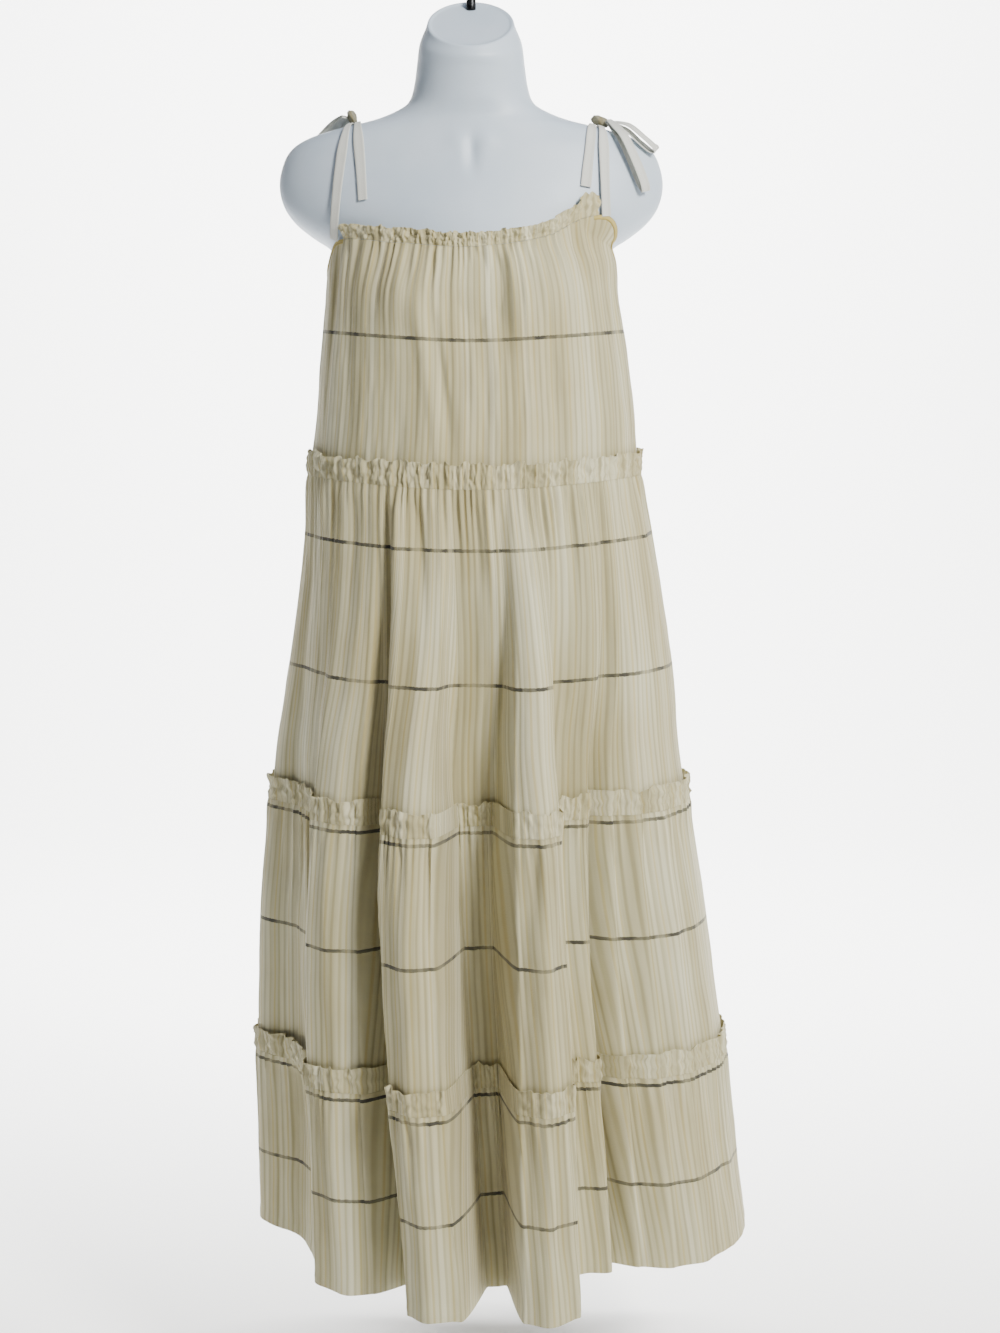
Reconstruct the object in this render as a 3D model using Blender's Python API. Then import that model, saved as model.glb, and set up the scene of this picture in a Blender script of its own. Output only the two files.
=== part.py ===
"""A tiered maxi dress with shoulder ties, on the hanging torso form that it is shown on.

Metres, +Z up, the dress faces -Y. The origin is the underside of the hook's crown, where a rail holds it.
Heights of the body and the cloth are given as "down", the distance below the middle of the neck cap.
Angles run round the body: 0 is front centre, +90 the side at +X, 180 the back.
"""

import math
from collections import namedtuple

import bpy
import bmesh
import numpy as np
from mathutils import Matrix, Vector

# The form and its hook
NECK_CAP_Z = -0.105
BODY_Y = -0.010
CAP_LEAN = math.radians(34.5)
WIRE = 0.0045
HOOK_RADIUS = 0.021
HOOK_JOIN = math.radians(-50)
HOOK_TIP = math.radians(205)
SOCKET_DEPTH = 0.012
FORM_SIDES = 28

# The cloth
CLOTH = 0.0012
OFF_SKIN = 0.0050
SEAM_GAP = 0.0003
LAP = 0.006
SEAM_DOWN = (0.477, 0.835, 1.119)
HEM_DOWN = 1.336
FOLDS_START = 0.491
FOLDS_FULL = 0.997
GATHER_REACH = 0.0040
FRILL_HEIGHT = 0.027
FRILL_FLARE = 0.0045
FRILL_WAVE = 0.0075
NECK_FRILL_HEIGHT = 0.016
NECK_FRILL_FLARE = 0.004
NECK_FRILL_WAVE = 0.006

# The shoulder ties, in the same cloth folded to a strip
TIE_WIDTH = 0.011
TIE_THICK = 0.0016
TIE_OFF_SKIN = 0.0017
TIE_AT_KNOT = 0.5

# Squareness 2 is an ellipse, and more is fuller at its corners
Section = namedtuple("Section", "down half_width front back square shift_x shift_y")
FORM = [Section(*row) for row in (
    (0.000, 0.0465, 0.046, 0.046, 2.00, 0, -0.022),
    (0.020, 0.0545, 0.050, 0.051, 2.00, 0, -0.020),
    (0.044, 0.0579, 0.052, 0.055, 2.00, 0, -0.016),
    (0.067, 0.0618, 0.054, 0.058, 2.00, 0, -0.010),
    (0.082, 0.0687, 0.056, 0.061, 2.00, 0, -0.006),
    (0.091, 0.0851, 0.058, 0.063, 1.95, 0, -0.002),
    (0.099, 0.1084, 0.059, 0.065, 1.90, 0, 0),
    (0.106, 0.1394, 0.060, 0.067, 1.85, 0, 0),
    (0.116, 0.1744, 0.062, 0.070, 1.80, 0, 0),
    (0.129, 0.1958, 0.066, 0.074, 1.80, 0, 0),
    (0.148, 0.2057, 0.071, 0.079, 1.80, 0, 0),
    (0.169, 0.2088, 0.077, 0.082, 1.80, 0, 0),
    (0.191, 0.2032, 0.083, 0.083, 1.80, 0, 0),
    (0.209, 0.1898, 0.088, 0.083, 1.80, 0, 0),
    (0.224, 0.1704, 0.093, 0.082, 1.85, 0, 0),
    (0.236, 0.1520, 0.097, 0.081, 1.95, 0, 0),
    (0.251, 0.1453, 0.104, 0.081, 2.10, 0, 0),
    (0.280, 0.1426, 0.114, 0.082, 2.15, 0, 0),
    (0.326, 0.1331, 0.107, 0.080, 2.10, 0, 0),
    (0.394, 0.1149, 0.089, 0.077, 2.10, 0, 0),
    (0.457, 0.1320, 0.097, 0.090, 2.10, 0, 0),
    (0.536, 0.1582, 0.104, 0.114, 2.10, 0, 0),
    (0.605, 0.1647, 0.101, 0.120, 2.10, 0, 0),
    (0.647, 0.1620, 0.096, 0.114, 2.10, 0, 0),
    (0.657, 0.1542, 0.088, 0.106, 2.10, 0, 0),
)]

# The cloth's mean outline from the front and the side, without its folds
DRESS = [Section(*row) for row in (
    (0.200, 0.1517, 0.0955, 0.0860, 2.35, 0.000, 0),
    (0.237, 0.1549, 0.1015, 0.0850, 2.35, 0.000, 0),
    (0.256, 0.1570, 0.1090, 0.0855, 2.35, 0.001, 0),
    (0.282, 0.1582, 0.1180, 0.0880, 2.34, 0.001, 0),
    (0.340, 0.1655, 0.1240, 0.0930, 2.30, 0.003, 0),
    (0.408, 0.1729, 0.1290, 0.1000, 2.24, 0.004, 0),
    (0.477, 0.1794, 0.1350, 0.1090, 2.15, 0.003, 0),
    (0.566, 0.1921, 0.1480, 0.1240, 2.05, 0.008, 0),
    (0.675, 0.2086, 0.1650, 0.1440, 2.00, 0.010, 0),
    (0.759, 0.2185, 0.1780, 0.1590, 2.00, 0.007, 0),
    (0.835, 0.2267, 0.1900, 0.1710, 2.00, 0.008, 0),
    (0.961, 0.2432, 0.2060, 0.1890, 2.00, 0.012, 0),
    (1.119, 0.2562, 0.2180, 0.2040, 2.00, 0.021, 0),
    (1.255, 0.2660, 0.2260, 0.2140, 2.00, 0.030, 0),
    (1.346, 0.2713, 0.2300, 0.2190, 2.00, 0.035, 0),
)]

# How far each gathered tier's outer face lies off the tier above it, where it laps over it
TIER_STEP = {2: 0.0018, 3: 0.0020, 4: 0.0022}

# The rows of each gathered tier between its two laps, as shares of its height
TIER_ROWS = {2: (0.33, 0.64), 3: (0.36, 0.66), 4: (0.36, 0.68)}

# Big folds, in order round the body: where each ridge or valley lies at the waist and at the hem, and how
# far it stands out of the mean outline at the hem
Fold = namedtuple("Fold", "waist_deg hem_deg reach")
FOLDS = [Fold(*row) for row in (
    (-172, -174, 0.026),
    (-158, -160, -0.034),
    (-143, -145, 0.020),
    (-129, -130, -0.030),
    (-114, -113, 0.016),
    (-100, -100, -0.014),
    (-86, -86, 0.006),
    (-73, -72, -0.026),
    (-63, -59, -0.022),
    (-56, -51, 0.004),
    (-49, -44, 0.003),
    (-43, -36.5, -0.012),
    (-40, -32, -0.056),
    (-36, -27.2, -0.056),
    (-31, -22.6, 0.020),
    (-21, -17, 0.034),
    (-15, -10, 0.022),
    (-10.5, -6, -0.072),
    (11, 1.5, -0.078),
    (16, 5, 0.020),
    (22, 11, 0.034),
    (28, 18, 0.020),
    (33, 22, -0.072),
    (43, 32, -0.070),
    (50, 38.5, -0.058),
    (54, 43, -0.082),
    (59, 47, -0.048),
    (65, 53, -0.022),
    (72, 62, -0.006),
    (81, 76, 0.004),
    (88, 88, 0.006),
    (102, 102, -0.020),
    (117, 118, 0.018),
    (133, 133, -0.034),
    (149, 149, 0.024),
    (168, 167, -0.038),
)]

# The top edge of the first tier, round the body: neckline, armhole, back neckline
EdgePoint = namedtuple("EdgePoint", "degrees down")
TOP_EDGE = [EdgePoint(*row) for row in (
    (-180, 0.223), (-140, 0.221), (-109, 0.229), (-101, 0.250), (-91, 0.262), (-80, 0.251), (-71.5, 0.230),
    (-40, 0.235), (0, 0.240), (40, 0.229), (68, 0.204), (78, 0.232), (91, 0.256), (101, 0.247), (109, 0.227),
    (140, 0.220), (180, 0.223),
)]
# How far the hem rises round the body
HEM_RISE = [EdgePoint(*row) for row in (
    (-180, 0.004), (-120, 0.008), (-90, 0.020), (-72, 0.015), (-58, 0.004), (-40, 0.0), (20, 0.0), (32, 0.008),
    (60, 0.010), (75, 0.013), (90, 0.018), (120, 0.008), (180, 0.004),
)]
FRONT_NECK = (-65, 63)
BACK_NECK = (122, 238)

# Where each shoulder's tie is knotted, and half the knot's size across, front to back and up
Knot = namedtuple("Knot", "side x across deep tall")
KNOTS = [Knot(*row) for row in (
    ("left", -0.1258, 0.0062, 0.0075, 0.0085),
    ("right", 0.1374, 0.0125, 0.0080, 0.0062),
)]

# The straps and the tie ends that lie on the form: X and down at the lower end, X under the knot, side of
# the body (-1 front, 1 back), and the distance off the skin at the lower end
Strip = namedtuple("Strip", "name foot_x foot_down knot_x side foot_off")
STRIPS = [Strip(*row) for row in (
    ("strap_left_front", -0.1427, 0.2257, -0.1278, -1, 0.0044),
    ("strap_left_back", -0.1300, 0.2226, -0.1278, 1, 0.0044),
    ("strap_right_front", 0.1425, 0.2040, 0.1379, -1, 0.0044),
    ("strap_right_back", 0.1300, 0.2214, 0.1379, 1, 0.0044),
    ("tie_end_left_1", -0.1133, 0.1888, -0.1220, -1, 0.0021),
    ("tie_end_left_2", -0.1070, 0.1994, -0.1220, 1, 0.0021),
    ("tie_end_right_1", 0.1214, 0.1745, 0.1321, -1, 0.0019),
    ("tie_end_right_2", 0.1108, 0.1821, 0.1321, 1, 0.0014),
)]

# The bow loops that lie out over the arm caps: which way each leaves its knot, out and towards its face of
# the body (-1 front, 1 back), where its far end lies, and how far down the way it meets the arm cap
Loop = namedtuple("Loop", "side number out_way face_way face lies_from far_x far_down")
LOOPS = [Loop(*row) for row in (
    ("left", 1, 1.13, -0.25, 1, 0.00, -0.1803, 0.1346),
    ("left", 2, 0.55, 0.88, 1, 0.22, -0.1613, 0.1745),
    ("right", 1, 1.00, 0.10, -1, 0.00, 0.1939, 0.1346),
    ("right", 2, 0.60, 0.80, -1, 0.22, 0.1827, 0.1764),
)]


def ease_through(x, xs, ys):
    """A smooth curve through the points (xs, ys), read at x, with level ends."""
    i = min(max(int(np.searchsorted(xs, x)) - 1, 0), len(xs) - 2)
    slope = [
        0.0 if k in (0, len(xs) - 1) else (ys[k + 1] - ys[k - 1]) / (xs[k + 1] - xs[k - 1])
        for k in (i, i + 1)
    ]
    span = xs[i + 1] - xs[i]
    t = min(max((x - xs[i]) / span, 0.0), 1.0)
    return (
        (1 + 2 * t) * (1 - t) ** 2 * ys[i]
        + t * (1 - t) ** 2 * span * slope[0]
        + t * t * (3 - 2 * t) * ys[i + 1]
        + t * t * (t - 1) * span * slope[1]
    )


def section_at(table, down):
    """The table's outline at one height, as a Section."""
    downs = [row.down for row in table]
    return Section(down, *(
        ease_through(down, downs, [row[k] for row in table]) for k in range(1, len(Section._fields))
    ))


def ring_radius(section, angle):
    """Distance from the section's middle to its outline, in the direction of the angle."""
    across = abs(math.sin(angle)) / section.half_width
    along = abs(math.cos(angle)) / (section.front if math.cos(angle) > 0 else section.back)
    return (across ** section.square + along ** section.square) ** (-1 / section.square)


def fold_reach(angle, down):
    """How far the big folds move the cloth out (or in, below zero) at this place."""
    grown = min(max((down - FOLDS_START) / (FOLDS_FULL - FOLDS_START), 0.0), 1.0)
    grown = grown * grown * (3 - 2 * grown)
    low = min(max((down - SEAM_DOWN[0]) / (HEM_DOWN - SEAM_DOWN[0]), 0.0), 1.0)
    degrees = math.degrees(angle)
    places = [fold.waist_deg + (fold.hem_deg - fold.waist_deg) * low for fold in FOLDS]
    while degrees < places[0]:
        degrees += 360
    while degrees >= places[0] + 360:
        degrees -= 360
    places.append(places[0] + 360)
    i = max(k for k in range(len(FOLDS)) if places[k] <= degrees)
    t = (degrees - places[i]) / (places[i + 1] - places[i])
    t = t * t * (3 - 2 * t)
    return grown * (FOLDS[i].reach * (1 - t) + FOLDS[(i + 1) % len(FOLDS)].reach * t)


def sag(angle, down):
    """How much lower than its level the cloth hangs in front, between its two straps."""
    depth = np.interp(down, (0.30, SEAM_DOWN[0], HEM_DOWN), (0.014, 0.014, 0.005))
    shown = min(max((down - 0.247) / 0.06, 0.0), 1.0)
    return depth * shown * max(math.cos(angle), 0.0) ** 1.5


def cloth_radius(angle, down):
    """Distance from the section's middle to the cloth."""
    return ring_radius(section_at(DRESS, down), angle) + fold_reach(angle, down)


def cloth_point(angle, down, out=0.0, raised=0.0):
    """A point of the cloth's outer face. It can be moved straight out, or raised above its place as the top of
    a frill is. It never comes near the form, and what is raised stays outside the cloth behind it."""
    section = section_at(DRESS, down)
    radius = max(cloth_radius(angle, down), cloth_radius(angle, down - raised))
    if down - raised < FORM[-1].down:
        skin = ring_radius(section_at(FORM, down - raised), angle) - section.shift_x * math.sin(angle)
        radius = max(radius, skin + OFF_SKIN)
    return Vector((
        section.shift_x + (radius + out) * math.sin(angle),
        BODY_Y + section.shift_y - (radius + out) * math.cos(angle),
        NECK_CAP_Z - down - sag(angle, down) + raised,
    ))


def moved_off(row, lift):
    """A row of points moved evenly to its outer side, square to the line that they make. At the side seams
    it moves in their plane, so that front and back don't meet."""
    moved = []
    for j, point in enumerate(row):
        sides = []
        for a, b in ((j - 1, j), (j, j + 1)):
            if a >= 0 and b < len(row):
                way = row[b] - row[a]
                sides.append(Vector((way.y, -way.x, 0.0)).normalized())
        normal = (sides[0] + sides[-1]).normalized()
        if len(sides) == 1 and abs(point.y - BODY_Y) < 0.001:
            normal = Vector((math.copysign(1.0, normal.x), 0.0, 0.0))
        moved.append(point + normal * lift / max(normal.dot(sides[0]), 0.5))
    return moved


def form_point(angle, down):
    """A point of the torso form's skin."""
    section = section_at(FORM, down)
    radius = ring_radius(section, angle)
    return Vector((
        radius * math.sin(angle),
        BODY_Y + section.shift_y - radius * math.cos(angle),
        NECK_CAP_Z - down,
    ))


def columns(first_deg, last_deg):
    """The angles of the cloth's columns, in radians: close together over the deep front folds, wider at the
    sides and the back. A pucker takes two columns' spaces."""
    steps = []
    degrees = first_deg
    while degrees < last_deg - 0.01:
        pitch = 2.9 if -48 <= degrees < 56 else 4.8
        degrees += pitch * (1 + 0.16 * math.sin(1.9 * len(steps)))
        steps.append(degrees)
    if len(steps) % 2:
        steps.pop()
    stretch = (last_deg - first_deg) / (steps[-1] - first_deg)
    return [math.radians(first_deg)] + [math.radians(first_deg + (d - first_deg) * stretch) for d in steps]


def pucker(column):
    """The size of the pucker at a column, as a share: 0 at every second column, uneven at the others."""
    if column % 2 == 0:
        return 0.0
    return 0.78 + 0.22 * math.sin(2.3 * column)


def new_object(name, mesh, material):
    """A mesh object in the dress's collection."""
    obj = bpy.data.objects.new(name, mesh)
    obj.data.materials.append(material)
    COLLECTION.objects.link(obj)
    return obj


def material(name, colour, roughness, metallic=0.0):
    """A Principled BSDF with one colour."""
    made = bpy.data.materials.new(name)
    made.use_nodes = True
    shader = made.node_tree.nodes["Principled BSDF"]
    shader.inputs["Base Color"].default_value = (*colour, 1.0)
    shader.inputs["Roughness"].default_value = roughness
    shader.inputs["Metallic"].default_value = metallic
    return made


def face_normals_of_grid(grid):
    """The outward direction at each point of a grid of points, rows running down and columns round. It stays
    in the plane of the side seams there, so that front and back don't meet."""
    points = np.array([[list(p) for p in row] for row in grid])
    down = np.gradient(points, axis=0)
    round_it = np.gradient(points, axis=1)
    normals = np.cross(down, round_it)
    for j in (0, -1):
        if abs(points[0, j, 1] - BODY_Y) < 0.001:
            normals[:, j, 1] = 0.0
    normals /= np.linalg.norm(normals, axis=2, keepdims=True)
    return points, normals


def wall(name, grid, thickness, finish):
    """Cloth as a closed wall: the grid is its outer face, and its inner face lies one thickness behind it."""
    outer, normals = face_normals_of_grid(grid)
    inner = outer - normals * thickness
    rows, cols = outer.shape[:2]
    bm = bmesh.new()
    front = [[bm.verts.new(outer[i, j]) for j in range(cols)] for i in range(rows)]
    back = [[bm.verts.new(inner[i, j]) for j in range(cols)] for i in range(rows)]
    for i in range(rows - 1):
        for j in range(cols - 1):
            bm.faces.new((front[i][j], front[i + 1][j], front[i + 1][j + 1], front[i][j + 1]))
            bm.faces.new((back[i][j], back[i][j + 1], back[i + 1][j + 1], back[i + 1][j]))
    for j in range(cols - 1):
        bm.faces.new((front[0][j], front[0][j + 1], back[0][j + 1], back[0][j]))
        bm.faces.new((front[-1][j], back[-1][j], back[-1][j + 1], front[-1][j + 1]))
    for i in range(rows - 1):
        bm.faces.new((front[i][0], back[i][0], back[i + 1][0], front[i + 1][0]))
        bm.faces.new((front[i][-1], front[i + 1][-1], back[i + 1][-1], back[i][-1]))
    bmesh.ops.recalc_face_normals(bm, faces=bm.faces)
    mesh = bpy.data.meshes.new(name)
    bm.to_mesh(mesh)
    bm.free()
    return new_object(name, mesh, finish)


def edge_at(table, angle):
    """An edge's height at an angle."""
    degrees = (math.degrees(angle) + 180) % 360 - 180
    return ease_through(degrees, [p.degrees for p in table], [p.down for p in table])


def top_of_dress(angle):
    """The height of the first tier's top edge at an angle."""
    return edge_at(TOP_EDGE, angle)


def in_neckline(angle):
    """Whether the top edge is gathered here, as at the neckline, or bound smooth, as at the armhole."""
    degrees = math.degrees(angle)
    return FRONT_NECK[0] < degrees < FRONT_NECK[1] or BACK_NECK[0] < degrees < BACK_NECK[1]


def neck_pucker(angles, column):
    """The reach of the neckline's pucker at a column: none at the armholes."""
    return pucker(column) * GATHER_REACH if in_neckline(angles[column]) else 0.0


def first_tier(side, angles, finish):
    """The top tier: it follows the gathered neckline and the armholes, and falls straight to the first seam."""
    grid = []
    for share in (0.0, 0.12, 0.42, 0.86, 1.0):
        row = []
        for j, angle in enumerate(angles):
            top = top_of_dress(angle)
            down = top + (SEAM_DOWN[0] + LAP - top) * share
            fade = (1 - share) ** 1.6
            row.append(cloth_point(angle, down, neck_pucker(angles, j) * fade))
        grid.append(row)
    return wall(f"tier_1_{side}", grid, CLOTH, finish)


def lower_tier(number, side, angles, finish):
    """A gathered tier: puckers at its top that fade out below it, over the big folds. Where it laps another
    piece it has its rows at the same heights, so that the two lie evenly on each other."""
    top = SEAM_DOWN[number - 2]
    bottom = HEM_DOWN
    last = [HEM_DOWN]
    if number < 4:
        seam = SEAM_DOWN[number - 1]
        bottom = seam + LAP
        last = [seam - FRILL_HEIGHT, seam, bottom]
    grid = []
    for down in [top, top + LAP] + [top + (bottom - top) * share for share in TIER_ROWS[number]] + last:
        share = (down - top) / (bottom - top)
        fade = (1 - share) ** 3
        step = TIER_STEP[number] * max(1 - share * 1.5, 0)
        row = []
        for j, angle in enumerate(angles):
            rise = edge_at(HEM_RISE, angle) if down == HEM_DOWN else 0.0
            row.append(cloth_point(angle, down - rise, pucker(j) * GATHER_REACH * fade))
        grid.append(moved_off(row, step))
    return wall(f"tier_{number}_{side}", grid, CLOTH, finish)


def between(row):
    """A row with one more item half way between each two of them."""
    fine = []
    for item, after in zip(row, row[1:]):
        fine += [item, (item + after) / 2]
    return fine + [row[-1]]


def wave_at(number):
    """The wave of a frill at a whole or half column: 0 in the valleys, uneven crests, half way between."""
    low, high = math.floor(number), math.ceil(number)
    return (pucker(low) + pucker(high)) / 2


def frill(name, angles, stitch_down, height, flare, wave, step, finish):
    """A standing frill over a line of stitches: it flares out and its waves open towards its free edge."""
    rows = []
    for share in (1.0, 0.0):
        opened = GATHER_REACH + (wave - GATHER_REACH) * share
        row = []
        flat = between([cloth_point(a, stitch_down(a), 0.0, SEAM_GAP + height * share) for a in angles])
        for number, (angle, point) in enumerate(zip(between(angles), flat)):
            out = flare * share + wave_at(number / 2) * opened
            row.append(point + Vector((math.sin(angle), -math.cos(angle), 0.0)) * out)
        rows.append(moved_off(row, step))
    return wall(name, rows, CLOTH, finish)


def build_cloth(finish):
    """The four tiers and their frills, each with a front and a back that meet at the side seams."""
    gap = math.degrees(SEAM_GAP / 2 / 0.2)
    for side, first, last in (("front", -90, 90), ("back", 90, 270)):
        angles = columns(first + gap, last - gap)
        first_tier(side, angles, finish)
        for number in (2, 3, 4):
            lower_tier(number, side, angles, finish)
            seam = SEAM_DOWN[number - 2]
            frill(
                f"seam_frill_{number - 1}_{side}", angles, lambda angle, d=seam: d,
                FRILL_HEIGHT, FRILL_FLARE, FRILL_WAVE, TIER_STEP[number], finish,
            )
        gathered = [a for a in angles if in_neckline(a)]
        start = angles.index(gathered[0])
        if start % 2:
            start -= 1
        gathered = angles[start:start + len(gathered) + 1]
        frill(
            f"neck_frill_{side}", gathered, top_of_dress,
            NECK_FRILL_HEIGHT, NECK_FRILL_FLARE, NECK_FRILL_WAVE, 0.0, finish,
        )


def build_form(finish):
    """The torso form: a smooth loft through its sections, whole, with a leaning neck cap and a closed base."""
    bm = bmesh.new()
    rings = []
    for k, section in enumerate(FORM):
        ring = []
        for j in range(FORM_SIDES):
            point = form_point(2 * math.pi * j / FORM_SIDES, section.down)
            lean = max(1 - section.down / 0.05, 0.0)
            point.z += (point.y - BODY_Y - section.shift_y) * math.tan(CAP_LEAN) * lean
            ring.append(bm.verts.new(point))
        rings.append(ring)
    for upper, lower in zip(rings, rings[1:]):
        for j in range(FORM_SIDES):
            nxt = (j + 1) % FORM_SIDES
            bm.faces.new((upper[j], lower[j], lower[nxt], upper[nxt]))
    bm.faces.new(rings[0])
    bm.faces.new(rings[-1][::-1])
    bmesh.ops.recalc_face_normals(bm, faces=bm.faces)
    mesh = bpy.data.meshes.new("torso_form")
    bm.to_mesh(mesh)
    bm.free()
    return new_object("torso_form", mesh, finish)


def hook_route():
    """The hook's centre line: up out of the neck, out to one side and round over the rail."""
    centre_z = WIRE / 2 - HOOK_RADIUS
    join = (HOOK_RADIUS * math.cos(HOOK_JOIN), centre_z + HOOK_RADIUS * math.sin(HOOK_JOIN))
    turn = math.pi / 2 - (math.pi / 2 + HOOK_JOIN)
    sweep = join[0] / (1 - math.cos(turn))
    stem_top = join[1] - sweep * math.sin(turn)
    cap_z = NECK_CAP_Z + (-BODY_Y - FORM[0].shift_y) * math.tan(CAP_LEAN)
    route = [(0.0, cap_z - SOCKET_DEPTH + 0.001)]
    for k in range(6):
        a = turn * k / 5
        route.append((sweep * (1 - math.cos(a)), stem_top + sweep * math.sin(a)))
    for k in range(1, 21):
        a = HOOK_JOIN + (HOOK_TIP - HOOK_JOIN) * k / 20
        route.append((HOOK_RADIUS * math.cos(a), centre_z + HOOK_RADIUS * math.sin(a)))
    return route, cap_z


def build_hook(form, finish):
    """The wire hook, and the socket in the neck cap that its stem goes into."""
    route, cap_z = hook_route()
    curve = bpy.data.curves.new("hook", "CURVE")
    curve.dimensions = "3D"
    curve.bevel_depth = WIRE / 2
    curve.bevel_resolution = 2
    curve.use_fill_caps = True
    spline = curve.splines.new("POLY")
    spline.points.add(len(route) - 1)
    for point, (x, z) in zip(spline.points, route):
        point.co = (x, 0.0, z, 1.0)
    hook = bpy.data.objects.new("hook", curve)
    curve.materials.append(finish)
    COLLECTION.objects.link(hook)

    cutter_height = 0.06
    bpy.ops.mesh.primitive_cylinder_add(
        vertices=12, radius=WIRE / 2 + SEAM_GAP * 1.5, depth=cutter_height,
        location=(0, 0, cap_z - SOCKET_DEPTH + cutter_height / 2),
    )
    cutter = bpy.context.object
    cutter.name = "hook_socket_cutter"
    cutter.hide_render = True
    cutter.display_type = "WIRE"
    for old in cutter.users_collection:
        old.objects.unlink(cutter)
    CUTTERS.objects.link(cutter)
    cut = form.modifiers.new("hook socket", "BOOLEAN")
    cut.operation = "DIFFERENCE"
    cut.object = cutter


def ribbon(name, route, across, widths, finish):
    """A flat tie along a route. At each point it has a direction across and a width there, and its thickness
    is square to both."""
    bm = bmesh.new()
    rings = []
    for k, point in enumerate(route):
        ahead = (route[min(k + 1, len(route) - 1)] - route[max(k - 1, 0)]).normalized()
        side = (across[k] - ahead * across[k].dot(ahead)).normalized()
        face = ahead.cross(side)
        rings.append([
            bm.verts.new(point + side * (widths[k] / 2) * a + face * (TIE_THICK / 2) * b)
            for a, b in ((1, 1), (-1, 1), (-1, -1), (1, -1))
        ])
    for first, second in zip(rings, rings[1:]):
        for j in range(4):
            bm.faces.new((first[j], first[(j + 1) % 4], second[(j + 1) % 4], second[j]))
    bm.faces.new(rings[0][::-1])
    bm.faces.new(rings[-1])
    bmesh.ops.recalc_face_normals(bm, faces=bm.faces)
    mesh = bpy.data.meshes.new(name)
    bm.to_mesh(mesh)
    bm.free()
    return new_object(name, mesh, finish)


def shoulder_top(x):
    """The height of the form's shoulder line at one X."""
    rows = FORM[:12]
    return float(np.interp(abs(x), [row.half_width for row in rows], [row.down for row in rows]))


def shoulder_skin(x, share, far_down, side):
    """A point of the form's skin on the front or back of a shoulder. Share 0 is the shoulder line, and 1 the
    height far_down; between them it moves away from the line evenly."""
    down = shoulder_top(x) + (far_down - shoulder_top(x)) * share ** 2
    section = section_at(FORM, down)
    depth = section.front if side < 0 else section.back
    inside = max(1 - (abs(x) / section.half_width) ** section.square, 0.0)
    y = BODY_Y + section.shift_y + side * depth * inside ** (1 / section.square)
    return Vector((x, y, NECK_CAP_Z - down))


def off_shoulder(x, share, far_down, side, off):
    """The same point held off the skin, and the direction across the shoulder there, towards +X."""
    point = shoulder_skin(x, share, far_down, side)
    if share < 0.04:
        along = Vector((0, 1, 0))
    else:
        above, below = (shoulder_skin(x, share + s, far_down, side) for s in (-0.04, 0.04))
        along = (above - below).normalized() * -side
    before, after = (shoulder_skin(x + s, share, far_down, side) for s in (-0.003, 0.003))
    across = after - before
    across = (across - along * across.dot(along)).normalized()
    return point + across.cross(along) * off, across


def build_strip(strip, finish):
    """A strap or a tie end: it starts narrow under the knot and lies down the shoulder."""
    route, across, widths = [], [], []
    for share in (0.0, 0.12, 0.24, 0.38, 0.53, 0.68, 0.84, 1.0):
        x = strip.knot_x + (strip.foot_x - strip.knot_x) * share
        off = TIE_OFF_SKIN + (strip.foot_off - TIE_OFF_SKIN) * share
        point, side_way = off_shoulder(x, share, strip.foot_down, strip.side, off)
        if not share:
            point.y += strip.side * 2 * SEAM_GAP
        route.append(point)
        across.append(side_way)
        widths.append(TIE_WIDTH * min(TIE_AT_KNOT + share, 1.0))
    ribbon(strip.name, route, across, widths, finish)


def knot_centre(knot):
    """The middle of a knot, which sits on the straps where they meet on top of the shoulder."""
    rest = TIE_OFF_SKIN + TIE_THICK / 2 + SEAM_GAP
    point, across = off_shoulder(knot.x, 0.0, 0.2, -1, rest + knot.tall)
    return point


def knot_turn(knot):
    """The knot lies along the slope of the shoulder."""
    return Matrix.Rotation(math.atan2(shoulder_top(knot.x + 0.01) - shoulder_top(knot.x - 0.01), 0.02), 3, "Y")


def build_knot(knot, finish):
    """The knot: a firm rounded lump of folded strip."""
    bpy.ops.mesh.primitive_uv_sphere_add(segments=14, ring_count=8, radius=1.0, location=knot_centre(knot))
    lump = bpy.context.object
    lump.name = f"knot_{knot.side}"
    lump.scale = (knot.across, knot.deep, knot.tall)
    lump.rotation_euler = knot_turn(knot).to_euler()
    for old in lump.users_collection:
        old.objects.unlink(lump)
    COLLECTION.objects.link(lump)
    lump.data.materials.append(finish)


def build_loop(loop, finish):
    """A bow loop: the strip goes out from the knot over the arm cap, turns at its far end and comes back."""
    knot = next(k for k in KNOTS if k.side == loop.side)
    outward = math.copysign(1.0, knot.x)
    start = knot_centre(knot) + knot_turn(knot) @ Vector((
        outward * loop.out_way * (knot.across + 5 * SEAM_GAP),
        loop.face * loop.face_way * (knot.deep + 5 * SEAM_GAP),
        0.0,
    ))

    def on_arm(out, off):
        x = start.x + (loop.far_x - start.x) * out
        return off_shoulder(x, loop.lies_from + (1 - loop.lies_from) * out, loop.far_down, loop.face, off)[0]

    way = (on_arm(1.0, 0.0) - start).normalized()
    away = (on_arm(0.6, 0.01) - on_arm(0.6, 0.0)).normalized()
    away = (away - way * away.dot(way)).normalized()
    route, widths = [], []
    for out, off, at_knot in (
        (0.00, 0.0, -0.0013), (0.30, 0.0060, 0), (0.65, 0.0036, 0), (0.92, 0.0038, 0), (1.00, 0.0068, 0),
        (0.92, 0.0100, 0), (0.65, 0.0112, 0), (0.30, 0.0118, 0), (0.00, 0.0, 0.0013),
    ):
        route.append(start + away * at_knot if at_knot else on_arm(out, off))
        widths.append(TIE_WIDTH * min(TIE_AT_KNOT + out * 1.6, 1.0))
    ribbon(f"loop_{loop.side}_{loop.number}", route, [away.cross(way)] * len(route), widths, finish)


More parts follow.
